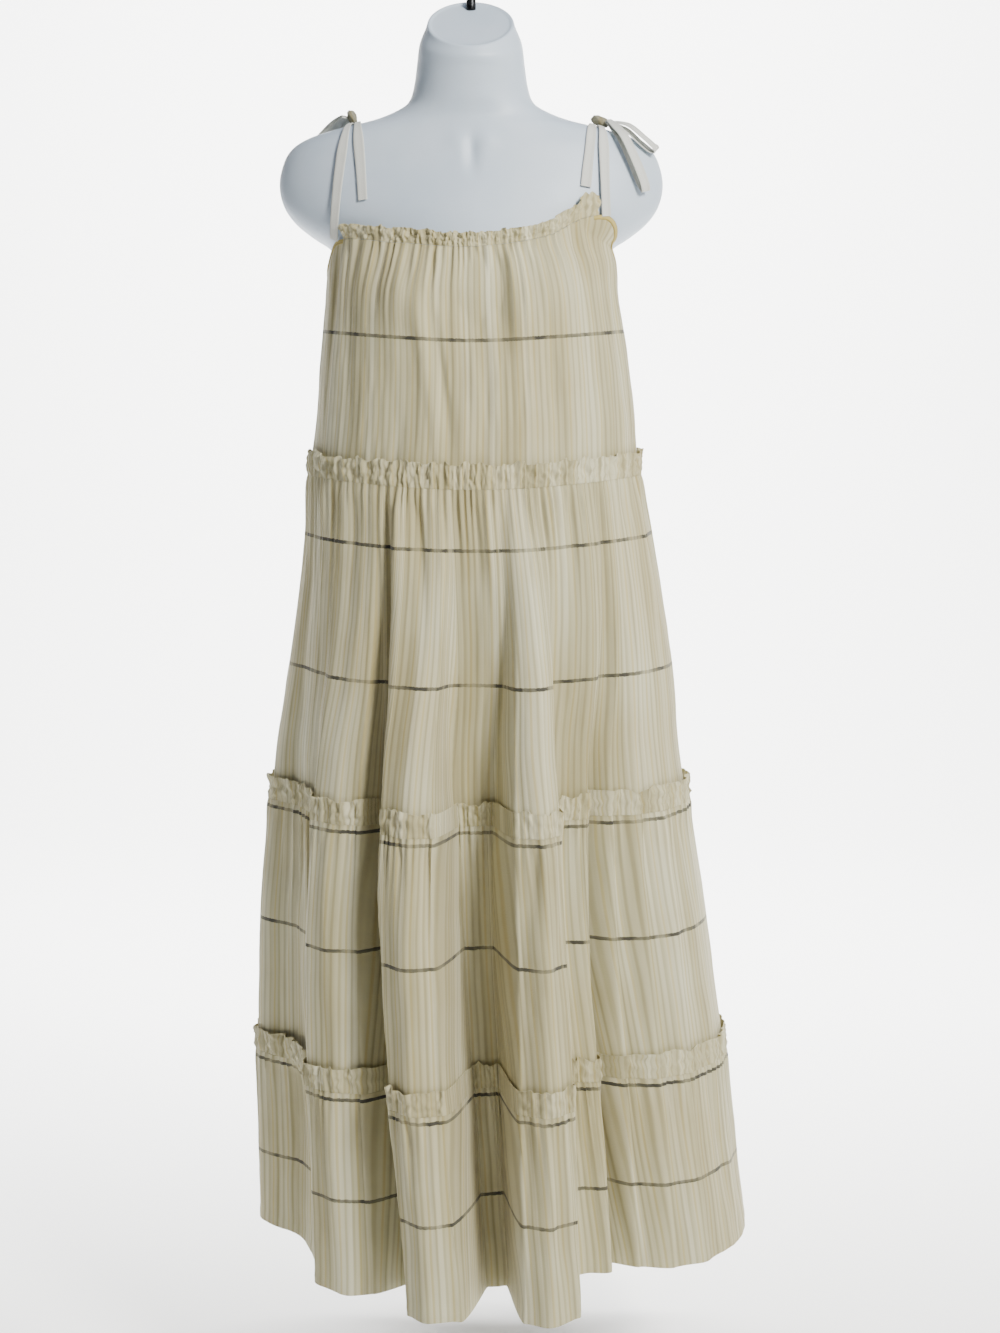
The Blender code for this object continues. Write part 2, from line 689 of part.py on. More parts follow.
def main():
    cream = material("cream striped cotton", (0.62, 0.58, 0.47), 0.85)
    white = material("moulded white polythene", (0.72, 0.76, 0.80), 0.45)
    black = material("black plated wire", (0.03, 0.03, 0.03), 0.35, 1.0)
    build_cloth(cream)
    form = build_form(white)
    build_hook(form, black)
    for knot in KNOTS:
        build_knot(knot, cream)
    for strip in STRIPS:
        build_strip(strip, cream)
    for loop in LOOPS:
        build_loop(loop, cream)


for leftover in list(bpy.data.objects):
    bpy.data.objects.remove(leftover)
COLLECTION = bpy.data.collections.new("maxi_dress_on_form")
CUTTERS = bpy.data.collections.new("cutters")
bpy.context.scene.collection.children.link(COLLECTION)
bpy.context.scene.collection.children.link(CUTTERS)
main()
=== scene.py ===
"""The looks of a cream striped maxi dress, hung on a moulded torso form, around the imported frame.

Metres, +Z up, the dress faces -Y. Heights of the body and the cloth are given as "down", the distance below
the middle of the neck cap. Angles run round the body: 0 is front centre, +90 the side at +X, 180 the back.
"""

import math
from collections import namedtuple

import bpy
import numpy as np
from mathutils import Matrix, Vector


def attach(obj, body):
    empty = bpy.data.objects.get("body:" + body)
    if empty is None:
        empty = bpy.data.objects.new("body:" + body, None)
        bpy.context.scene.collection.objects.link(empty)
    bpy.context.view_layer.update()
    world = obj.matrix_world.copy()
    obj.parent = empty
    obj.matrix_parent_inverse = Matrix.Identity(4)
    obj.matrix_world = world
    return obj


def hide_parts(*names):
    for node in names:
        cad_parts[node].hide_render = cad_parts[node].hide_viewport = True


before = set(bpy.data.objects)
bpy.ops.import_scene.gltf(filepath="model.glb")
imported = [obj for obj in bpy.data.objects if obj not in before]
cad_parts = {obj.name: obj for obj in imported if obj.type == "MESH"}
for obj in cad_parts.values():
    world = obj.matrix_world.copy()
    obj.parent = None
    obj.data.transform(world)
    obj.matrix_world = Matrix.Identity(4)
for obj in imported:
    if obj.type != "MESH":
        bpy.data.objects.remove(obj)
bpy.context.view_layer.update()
bpy.ops.object.select_all(action="DESELECT")

# The form and its hook
NECK_CAP_Z = -0.105
BODY_Y = -0.010
CAP_LEAN = math.radians(34.5)
LEAN_FADES = 0.05  # the cap's lean is gone this far down the neck
WIRE = 0.0045
HOOK_RADIUS = 0.021
HOOK_JOIN = math.radians(-50)
HOOK_TIP = math.radians(205)
STEM_IN_CAP = 0.010  # the stem goes this far into the neck
TIP_RADIUS = WIRE * 0.62
SLEEVE_RADIUS = 0.0052
SLEEVE_HEIGHT = 0.012
SLEEVE_MIDDLE = 0.0035  # over the cap
SLEEVE_EDGE = 0.0012

# The dress
SEAM_GAP = 0.0003
LAP = 0.006  # each tier goes this far under the next one's seam
OFF_SKIN = 0.0050
LIFTED_OFF_SKIN = 0.0026  # the least that any crease leaves between the cloth and the form
SEAM_DOWN = (0.477, 0.835, 1.119)
HEM_DOWN = 1.336
FOLDS_START = 0.491
FOLDS_FULL = 0.997
GATHER_REACH = 0.0040
NECK_GATHERS = 0.9  # against those of the seams
PUFFS_OVER = 0.005
SIDEWAYS_FADES = 5  # lifted cloth moves straight out at the side seams, so that front and back meet
FRILL_HEIGHT = 0.027
FRILL_FLARE = 0.0008
FRILL_WAVE = 0.0042
NECK_FRILL_HEIGHT = 0.016
NECK_FRILL_FLARE = 0.001
NECK_FRILL_WAVE = 0.0040
FRILL_CRUMPLE = 0.0019
FRILL_STANDS_OUT = 0.0012
FRILL_OFF_CLOTH = 0.0016
TIER_STEP = {2: 0.0018, 3: 0.0020, 4: 0.0022}
COTTON = 0.0007  # thickness of the cloth as drawn
BINDING_WIDTH = 0.0052
BINDING_THICK = 0.0021
BINDING_EDGE = 0.0010
BINDING_MIDDLE = 0.0008
BINDING_ACROSS = 0.0050  # the direction across a binding is taken over this much cloth

# The shoulder ties
TIE_WIDTH = 0.011
TIE_THICK = 0.0016
TIE_OFF_SKIN = 0.0017
TIE_AT_KNOT = 0.5  # share of its width that a tie has where the knot squeezes it
TIE_WANDER = 0.0006
LOOP_OFF_KNOT = 5 * SEAM_GAP
LOOP_WIDENS = 1.6  # a loop has its full width back soon after it leaves the knot
KNOT_SINKS = 0.0020
KNOT_LEAN = 0.55
KNOT_BAND = 0.42  # half width of the strip that goes round it, as a share of its size
KNOT_WRAPS = 15.0
KNOT_PLEATS = 9.0
KNOT_CLOTH = 0.045

# Heights of the thin dark lines woven across the cloth
DARK_LINES = (0.323, 0.541, 0.684, 0.842, 0.968, 1.126, 1.235)

# down, half width, front, back, squareness (2 is an ellipse), shift along X and Y
FORM = np.array((
    (0.000, 0.0465, 0.046, 0.046, 2.00, 0, -0.022),
    (0.020, 0.0545, 0.050, 0.051, 2.00, 0, -0.020),
    (0.044, 0.0579, 0.052, 0.055, 2.00, 0, -0.016),
    (0.067, 0.0618, 0.054, 0.058, 2.00, 0, -0.010),
    (0.082, 0.0687, 0.056, 0.061, 2.00, 0, -0.006),
    (0.091, 0.0851, 0.058, 0.063, 1.95, 0, -0.002),
    (0.099, 0.1084, 0.059, 0.065, 1.90, 0, 0),
    (0.106, 0.1394, 0.060, 0.067, 1.85, 0, 0),
    (0.116, 0.1744, 0.062, 0.070, 1.80, 0, 0),
    (0.129, 0.1958, 0.066, 0.074, 1.80, 0, 0),
    (0.148, 0.2057, 0.071, 0.079, 1.80, 0, 0),
    (0.169, 0.2088, 0.077, 0.082, 1.80, 0, 0),
    (0.191, 0.2032, 0.083, 0.083, 1.80, 0, 0),
    (0.209, 0.1898, 0.088, 0.083, 1.80, 0, 0),
    (0.224, 0.1704, 0.093, 0.082, 1.85, 0, 0),
    (0.236, 0.1520, 0.097, 0.081, 1.95, 0, 0),
    (0.251, 0.1453, 0.104, 0.081, 2.10, 0, 0),
    (0.280, 0.1426, 0.114, 0.082, 2.15, 0, 0),
    (0.326, 0.1331, 0.107, 0.080, 2.10, 0, 0),
    (0.394, 0.1149, 0.089, 0.077, 2.10, 0, 0),
    (0.457, 0.1320, 0.097, 0.090, 2.10, 0, 0),
    (0.536, 0.1582, 0.104, 0.114, 2.10, 0, 0),
    (0.605, 0.1647, 0.101, 0.120, 2.10, 0, 0),
    (0.647, 0.1620, 0.096, 0.114, 2.10, 0, 0),
    (0.657, 0.1542, 0.088, 0.106, 2.10, 0, 0),
))
SHOULDER_ROWS = 12  # the rows from the neck cap down to where the arm caps are widest
DRESS = np.array((
    (0.200, 0.1517, 0.0955, 0.0860, 2.35, 0.000, 0),
    (0.237, 0.1549, 0.1015, 0.0850, 2.35, 0.000, 0),
    (0.256, 0.1570, 0.1090, 0.0855, 2.35, 0.001, 0),
    (0.282, 0.1582, 0.1180, 0.0880, 2.34, 0.001, 0),
    (0.340, 0.1655, 0.1240, 0.0930, 2.30, 0.003, 0),
    (0.408, 0.1729, 0.1290, 0.1000, 2.24, 0.004, 0),
    (0.477, 0.1794, 0.1350, 0.1090, 2.15, 0.003, 0),
    (0.566, 0.1921, 0.1480, 0.1240, 2.05, 0.008, 0),
    (0.675, 0.2086, 0.1650, 0.1440, 2.00, 0.010, 0),
    (0.759, 0.2185, 0.1780, 0.1590, 2.00, 0.007, 0),
    (0.835, 0.2267, 0.1900, 0.1710, 2.00, 0.008, 0),
    (0.961, 0.2432, 0.2060, 0.1890, 2.00, 0.012, 0),
    (1.119, 0.2562, 0.2180, 0.2040, 2.00, 0.021, 0),
    (1.255, 0.2660, 0.2260, 0.2140, 2.00, 0.030, 0),
    (1.346, 0.2713, 0.2300, 0.2190, 2.00, 0.035, 0),
))

# Big folds: degrees at the waist and at the hem, and the reach out of the mean outline at the hem
FOLDS = (
    (-172, -174, 0.026),
    (-158, -160, -0.034),
    (-143, -145, 0.020),
    (-129, -130, -0.030),
    (-114, -113, 0.016),
    (-100, -100, -0.014),
    (-86, -86, 0.006),
    (-73, -72, -0.026),
    (-63, -59, -0.022),
    (-56, -51, 0.004),
    (-49, -44, 0.003),
    (-43, -36.5, -0.012),
    (-40, -32, -0.056),
    (-36, -27.2, -0.056),
    (-31, -22.6, 0.020),
    (-21, -17, 0.034),
    (-15, -10, 0.022),
    (-10.5, -6, -0.072),
    (11, 1.5, -0.078),
    (16, 5, 0.020),
    (22, 11, 0.034),
    (28, 18, 0.020),
    (33, 22, -0.072),
    (43, 32, -0.070),
    (50, 38.5, -0.058),
    (54, 43, -0.082),
    (59, 47, -0.048),
    (65, 53, -0.022),
    (72, 62, -0.006),
    (81, 76, 0.004),
    (88, 88, 0.006),
    (102, 102, -0.020),
    (117, 118, 0.018),
    (133, 133, -0.034),
    (149, 149, 0.024),
    (168, 167, -0.038),
)
# Degrees, and how far down the first tier's top edge is there
TOP_EDGE = np.array((
    (-180, 0.223), (-140, 0.221), (-109, 0.229), (-101, 0.250), (-91, 0.262), (-80, 0.251), (-71.5, 0.230),
    (-40, 0.235), (0, 0.240), (40, 0.229), (68, 0.204), (78, 0.232), (91, 0.256), (101, 0.247), (109, 0.227),
    (140, 0.220), (180, 0.223),
))
# down, how far the front hangs under its level between the straps
SAG = np.array(((0.300, 0.014), (SEAM_DOWN[0], 0.014), (HEM_DOWN, 0.005)))
SAG_STARTS = 0.247
SAG_GROWS_OVER = 0.06

# down, mean radius of the cloth, which turns degrees into a distance
MEAN_RADIUS = np.array(((0.20, 0.12), (0.50, 0.15), (0.85, 0.20), (1.34, 0.235)))

# Degrees, and how far the hem rises there
HEM_RISE = np.array((
    (-180, 0.004), (-120, 0.008), (-90, 0.020), (-72, 0.015), (-58, 0.004), (-40, 0.0), (20, 0.0),
    (32, 0.008), (60, 0.010), (75, 0.013), (90, 0.018), (120, 0.008), (180, 0.004),
))
# Degrees between which the neckline is gathered, and where its heading stands up at the right corner
FRONT_NECK = (-67, 65)
BACK_NECK = (121, 239)
NECK_ENDS_OVER = 4
RIGHT_CORNER = 61
CORNER_WIDTH = 6.0
CORNER_TALLER = 0.55

# Soft creases: degrees and down at the upper end, degrees and down at the lower end, where
# along it the crease is deepest (0 upper end, 1 lower end), half width and depth (above 0 is a ridge) in mm.
# All of them are drawn deeper by one factor, so that they show in soft light.
CREASE_FACTOR = 1.45
CREASE_START = 0.45
Crease = namedtuple("Crease", "deg_from down_from deg_to down_to deepest width depth")
CREASES = [Crease(*row) for row in (
    # first tier, front
    (-47, 0.236, -44, 0.330, 0.00, 6, -2.6),
    (-33, 0.238, -30, 0.300, 0.00, 5, -2.2),
    (-21, 0.240, -19, 0.290, 0.05, 4, -3.6),
    (-26, 0.290, -15, 0.470, 0.45, 9, 2.6),
    (-18, 0.300, -9, 0.475, 0.50, 7, -2.8),
    (-9, 0.240, -8, 0.360, 0.00, 6, 2.2),
    (4, 0.240, 5, 0.345, 0.10, 5, -3.8),
    (13, 0.240, 15, 0.350, 0.25, 8, -3.4),
    (21, 0.238, 23, 0.400, 0.10, 5, 2.2),
    (30, 0.236, 31, 0.335, 0.40, 8, -3.4),
    (46, 0.228, 47, 0.440, 0.10, 7, 1.8),
    (55, 0.215, 55, 0.330, 0.00, 5, -2.4),
    (62, 0.206, 64, 0.300, 0.00, 5, -2.6),
    (-60, 0.240, -57, 0.470, 0.40, 9, -2.2),
    (-68, 0.250, -70, 0.420, 0.15, 6, -2.4),
    (-36, 0.350, -33, 0.477, 0.80, 8, -1.8),
    (7, 0.360, 4, 0.477, 0.80, 7, -2.0),
    (36, 0.330, 39, 0.477, 0.70, 9, -1.8),
    (72, 0.260, 74, 0.460, 0.30, 8, -2.0),
    # first tier, back
    (128, 0.222, 126, 0.350, 0.00, 7, -3.0),
    (141, 0.222, 139, 0.300, 0.05, 5, -3.4),
    (150, 0.222, 152, 0.460, 0.20, 8, 2.4),
    (161, 0.223, 165, 0.390, 0.10, 6, -3.2),
    (176, 0.223, 174, 0.320, 0.00, 5, -2.8),
    (188, 0.223, 186, 0.460, 0.25, 9, 2.2),
    (197, 0.222, 199, 0.420, 0.10, 7, -3.2),
    (211, 0.222, 209, 0.300, 0.00, 5, -2.4),
    (224, 0.222, 226, 0.380, 0.05, 7, -2.8),
    (236, 0.225, 233, 0.290, 0.00, 5, -2.2),
    (133, 0.330, 136, 0.477, 0.80, 8, -2.0),
    (203, 0.340, 206, 0.477, 0.75, 8, -2.0),
    (104, 0.260, 102, 0.440, 0.30, 8, -2.2),
    (253, 0.270, 256, 0.470, 0.50, 8, -2.2),
    # second tier, front
    (-61, 0.480, -59, 0.610, 0.00, 7, -2.6),
    (-51, 0.480, -50, 0.800, 0.15, 8, -2.2),
    (-37, 0.480, -33, 0.835, 0.60, 5, -6.5),
    (-33, 0.480, -28, 0.720, 0.10, 10, 3.4),
    (-25, 0.480, -19, 0.660, 0.15, 6, -4.2),
    (-16, 0.480, -15, 0.580, 0.00, 5, 2.0),
    (-8, 0.480, -7, 0.590, 0.00, 5, -2.6),
    (1, 0.480, 0, 0.640, 0.05, 6, -2.4),
    (11, 0.480, 12, 0.820, 0.10, 8, -2.0),
    (22, 0.480, 23, 0.560, 0.00, 5, -2.4),
    (32, 0.480, 30, 0.780, 0.20, 7, 2.6),
    (40, 0.480, 38, 0.700, 0.10, 6, -3.0),
    (52, 0.480, 55, 0.835, 0.40, 7, -3.4),
    (63, 0.480, 65, 0.620, 0.00, 6, -2.4),
    (73, 0.480, 78, 0.760, 0.20, 8, 2.2),
    (-74, 0.480, -77, 0.760, 0.20, 8, -2.4),
    # second tier, back
    (108, 0.480, 105, 0.640, 0.00, 7, -2.6),
    (121, 0.480, 122, 0.800, 0.15, 8, 2.4),
    (131, 0.480, 129, 0.600, 0.00, 6, -3.0),
    (144, 0.480, 147, 0.720, 0.10, 8, -3.2),
    (157, 0.480, 156, 0.570, 0.00, 5, -2.4),
    (167, 0.480, 164, 0.760, 0.15, 9, 2.6),
    (178, 0.480, 180, 0.620, 0.05, 6, -3.0),
    (190, 0.480, 188, 0.810, 0.30, 8, -2.2),
    (201, 0.480, 203, 0.580, 0.00, 6, -2.6),
    (214, 0.480, 212, 0.740, 0.10, 8, 2.6),
    (226, 0.480, 229, 0.640, 0.00, 6, -2.8),
    (241, 0.480, 243, 0.780, 0.20, 8, -2.2),
    (255, 0.480, 252, 0.600, 0.00, 6, -2.4),
    # third tier, front
    (-70, 0.838, -72, 1.040, 0.10, 8, -2.6),
    (-57, 0.838, -55, 0.960, 0.00, 7, -2.6),
    (-48, 0.838, -45, 1.100, 0.20, 9, 2.4),
    (-33, 0.838, -31, 1.119, 0.40, 5, -6.0),
    (-21, 0.838, -20, 0.930, 0.00, 5, -3.0),
    (-14, 0.838, -13, 1.030, 0.15, 6, -2.4),
    (-5, 0.838, -7, 0.960, 0.00, 7, -2.6),
    (6, 0.838, 4, 1.060, 0.20, 7, 2.4),
    (16, 0.838, 13, 0.950, 0.00, 5, -3.2),
    (24, 0.838, 20, 1.040, 0.10, 7, -2.4),
    (38, 0.838, 35, 0.970, 0.00, 7, -2.6),
    (53, 0.838, 52, 1.100, 0.20, 8, 2.6),
    (62, 0.838, 60, 0.960, 0.00, 7, -3.0),
    (75, 0.838, 77, 1.060, 0.15, 8, -2.6),
    # third tier, back
    (101, 0.838, 99, 0.980, 0.00, 8, -2.8),
    (113, 0.838, 115, 1.080, 0.15, 8, 2.4),
    (125, 0.838, 124, 0.950, 0.00, 6, -2.8),
    (139, 0.838, 141, 1.040, 0.10, 8, -2.6),
    (154, 0.838, 152, 0.960, 0.00, 6, -3.0),
    (163, 0.838, 165, 1.100, 0.20, 9, 2.4),
    (179, 0.838, 177, 0.970, 0.00, 7, -2.8),
    (195, 0.838, 197, 1.050, 0.10, 8, -2.4),
    (209, 0.838, 208, 0.940, 0.00, 6, -2.8),
    (221, 0.838, 223, 1.090, 0.15, 9, 2.6),
    (238, 0.838, 236, 0.970, 0.00, 7, -3.0),
    (251, 0.838, 253, 1.050, 0.10, 8, -2.6),
    # fourth tier, front
    (-72, 1.122, -75, 1.320, 0.10, 8, -2.6),
    (-55, 1.122, -53, 1.230, 0.00, 7, -2.6),
    (-46, 1.122, -45, 1.336, 0.30, 8, 2.4),
    (-31, 1.122, -30, 1.336, 0.60, 5, -6.0),
    (-19, 1.122, -19, 1.240, 0.00, 5, -3.0),
    (-11, 1.122, -10, 1.336, 0.40, 6, -2.6),
    (-4, 1.122, -5, 1.260, 0.00, 7, -2.2),
    (9, 1.122, 8, 1.230, 0.00, 5, -2.8),
    (15, 1.122, 14, 1.336, 0.50, 6, -2.6),
    (33, 1.122, 32, 1.260, 0.00, 6, -2.6),
    (45, 1.122, 44, 1.336, 0.60, 7, -3.6),
    (58, 1.122, 60, 1.230, 0.00, 7, -2.6),
    (71, 1.122, 74, 1.336, 0.40, 9, -3.0),
    # fourth tier, back
    (99, 1.122, 97, 1.300, 0.20, 8, -2.8),
    (114, 1.122, 116, 1.230, 0.00, 7, -2.6),
    (126, 1.122, 124, 1.336, 0.40, 8, -2.6),
    (142, 1.122, 143, 1.250, 0.00, 6, -2.8),
    (156, 1.122, 155, 1.336, 0.30, 9, 2.4),
    (171, 1.122, 173, 1.240, 0.00, 6, -2.8),
    (186, 1.122, 184, 1.320, 0.20, 8, -2.4),
    (202, 1.122, 204, 1.240, 0.00, 7, -3.0),
    (216, 1.122, 214, 1.336, 0.40, 8, 2.6),
    (233, 1.122, 235, 1.260, 0.00, 7, -2.8),
    (249, 1.122, 247, 1.336, 0.30, 8, -2.6),
)]

# Wide soft swellings and hollows of the cloth: degrees, down, half width in degrees, half height, reach
SWELLS = (
    (-30, 0.286, 12, 0.036, 0.0085),
    (33, 0.282, 12, 0.036, 0.0085),
    (2, 0.290, 11, 0.055, -0.0060),
    (-4, 0.660, 11, 0.150, -0.0120),
    (-30, 0.670, 4, 0.170, 0.0050),
    (18, 0.670, 6, 0.150, 0.0060),
    (31, 0.690, 6, 0.120, -0.0080),
    (-68, 1.230, 9, 0.140, -0.0090),
    (148, 0.300, 20, 0.050, 0.0025),
    (212, 0.300, 20, 0.050, 0.0025),
    (180, 0.330, 12, 0.070, -0.0025),
)

# Rows and columns of the panels' grids
BODICE_ROWS = 46
BODICE_CROWDING = 1.15  # above 1, its rows are closer together at the neckline
GATHERED_ROWS = 9
HANGING_ROWS = 26
FRILL_ROWS = 13
PANEL_COLUMNS = 521
FRILL_COLUMNS = 621
NECK_COLUMNS = 421

# How much cloth is in a gathered width, for the stripes that run down it
BODICE_FULL = 1.25
BODICE_MEASURED = 0.40  # its width is taken this far down
TIER_FULL = 1.1
FRILL_FULL = 1.6

# The gathers along a line of stitches, from least to most: their widths against each other, heights as a
# share, the shortest and how much longer some run down in metres, and the waves and leans of the frill
GATHER_WIDTHS = (0.55, 1.6)
GATHER_HEIGHTS = (0.45, 1.0)
GATHER_SHORTEST = 0.022
GATHER_LONGER = 0.085
FRILL_WAVES = (0.35, 1.0)
FRILL_LEANS = (-0.12, 0.12)

# The crumples of a frill, large and small: reach as a share, lumps for each degree and up its height, where
# the noise starts, how far it moves on for the next frill, seed
CRUMPLES = (
    (1.0, 0.75, 4.2, 17, 5, 13),
    (0.6, 1.7, 7.5, 5, 3, 23),
)

# Soft unevenness between the creases: reach, degrees and down of one lump, where its noise starts, seed
UNEVEN = (
    (0.0011, 5.0, 0.060, 40, 3, 5),
    (0.0005, 2.0, 0.028, 90, 7, 6),
)
SIDE_SEAM_DIP = 0.0012
SIDE_SEAM_DEGREES = 0.8
HEM_UNEVEN = 0.0022
HEM_STITCHED = 0.012
HEM_RIDGE = 0.0005

# The hollow of the throat and the ends of the collar bones, in the order of SWELLS
THROAT = (
    (1.5, 0.141, 5.0, 0.016, -0.0040),
    (-13, 0.126, 8.0, 0.010, 0.0016),
    (15, 0.126, 8.0, 0.010, 0.0016),
)

# Half sizes of each knot
Knot = namedtuple("Knot", "side x across deep tall")
KNOTS = [Knot(*row) for row in (
    ("left", -0.1258, 0.0062, 0.0075, 0.0085),
    ("right", 0.1374, 0.0125, 0.0080, 0.0062),
)]
# Straps and tie ends: the foot's place and its distance off the skin, the X at the knot, -1 front or 1 back
Strip = namedtuple("Strip", "name foot_x foot_down knot_x side foot_off")
STRIPS = [Strip(*row) for row in (
    ("strap_left_front", -0.1427, 0.2257, -0.1278, -1, 0.0044),
    ("strap_left_back", -0.1300, 0.2226, -0.1278, 1, 0.0044),
    ("strap_right_front", 0.1425, 0.2040, 0.1379, -1, 0.0044),
    ("strap_right_back", 0.1300, 0.2214, 0.1379, 1, 0.0044),
    ("tie_end_left_1", -0.1133, 0.1888, -0.1220, -1, 0.0021),
    ("tie_end_left_2", -0.1070, 0.1994, -0.1220, 1, 0.0021),
    ("tie_end_right_1", 0.1214, 0.1745, 0.1321, -1, 0.0019),
    ("tie_end_right_2", 0.1108, 0.1821, 0.1321, 1, 0.0014),
)]
# Bow loops: shares of the knot's size at which they leave it, -1 front or 1 back, how far down the shoulder
# they start to lie, and their far end
Loop = namedtuple("Loop", "side number out_way face_way face lies_from far_x far_down")
LOOPS = [Loop(*row) for row in (
    ("left", 1, 1.13, -0.25, 1, 0.00, -0.1803, 0.1346),
    ("left", 2, 0.55, 0.88, 1, 0.22, -0.1613, 0.1745),
    ("right", 1, 1.00, 0.10, -1, 0.00, 0.1939, 0.1346),
    ("right", 2, 0.60, 0.80, -1, 0.22, 0.1827, 0.1764),
)]

# A loop's line: the share of its way out, its height off the shoulder, and at the knot its two ends' places
LOOP_LINE = (
    (0.00, 0.0, -0.0013), (0.30, 0.0060, 0), (0.65, 0.0036, 0), (0.92, 0.0038, 0), (1.00, 0.0068, 0),
    (0.92, 0.0100, 0), (0.65, 0.0112, 0), (0.30, 0.0118, 0), (0.00, 0.0, 0.0013),
)


def srgb(code):
    """A colour written as sRGB hex, in linear light."""
    parts = [int(code[i:i + 2], 16) / 255 for i in (1, 3, 5)]
    return tuple(c / 12.92 if c <= 0.04045 else ((c + 0.055) / 1.055) ** 2.4 for c in parts) + (1.0,)


def node(tree, kind, inputs=None, output=0, stops=(), **settings):
    """Adds a node with its settings and links, and gives back one of its outputs. Its inputs are values, or
    the sockets that feed them, and a colour ramp's stops are places with their sRGB hex."""
    made = tree.nodes.new(kind)
    for key, value in settings.items():
        setattr(made, key, value)
    for key, value in (inputs or {}).items():
        if isinstance(value, bpy.types.NodeSocket):
            tree.links.new(value, made.inputs[key])
        else:
            made.inputs[key].default_value = value
    if stops:
        elements = made.color_ramp.elements
        while len(elements) < len(stops):
            elements.new(0.5)
        for element, (place, code) in zip(elements, stops):
            element.position = place
            element.color = srgb(code)
    return made.outputs[output] if made.outputs else made


def blank_material(name):
    """A material with no nodes yet, and its node tree."""
    made = bpy.data.materials.new(name)
    made.use_nodes = True
    made.node_tree.nodes.clear()
    return made, made.node_tree


# Metres: the repeat of the stripes, how far they wander, the threads as drawn, and the dark lines' half width
# and roughness
STRIPE_REPEAT = 0.0235
STRIPE_WANDER = 0.0040
THREAD = 0.0011
LINE_HALF = 0.0019
LINE_ROUGH = 0.0014

# How many go to a metre across and along: slubs of 6 by 450 mm, and broad bands of 30 mm by 1.25 m
SLUBS = (160.0, 2.2, 1.0)
BANDS = (34.0, 0.8, 1.0)


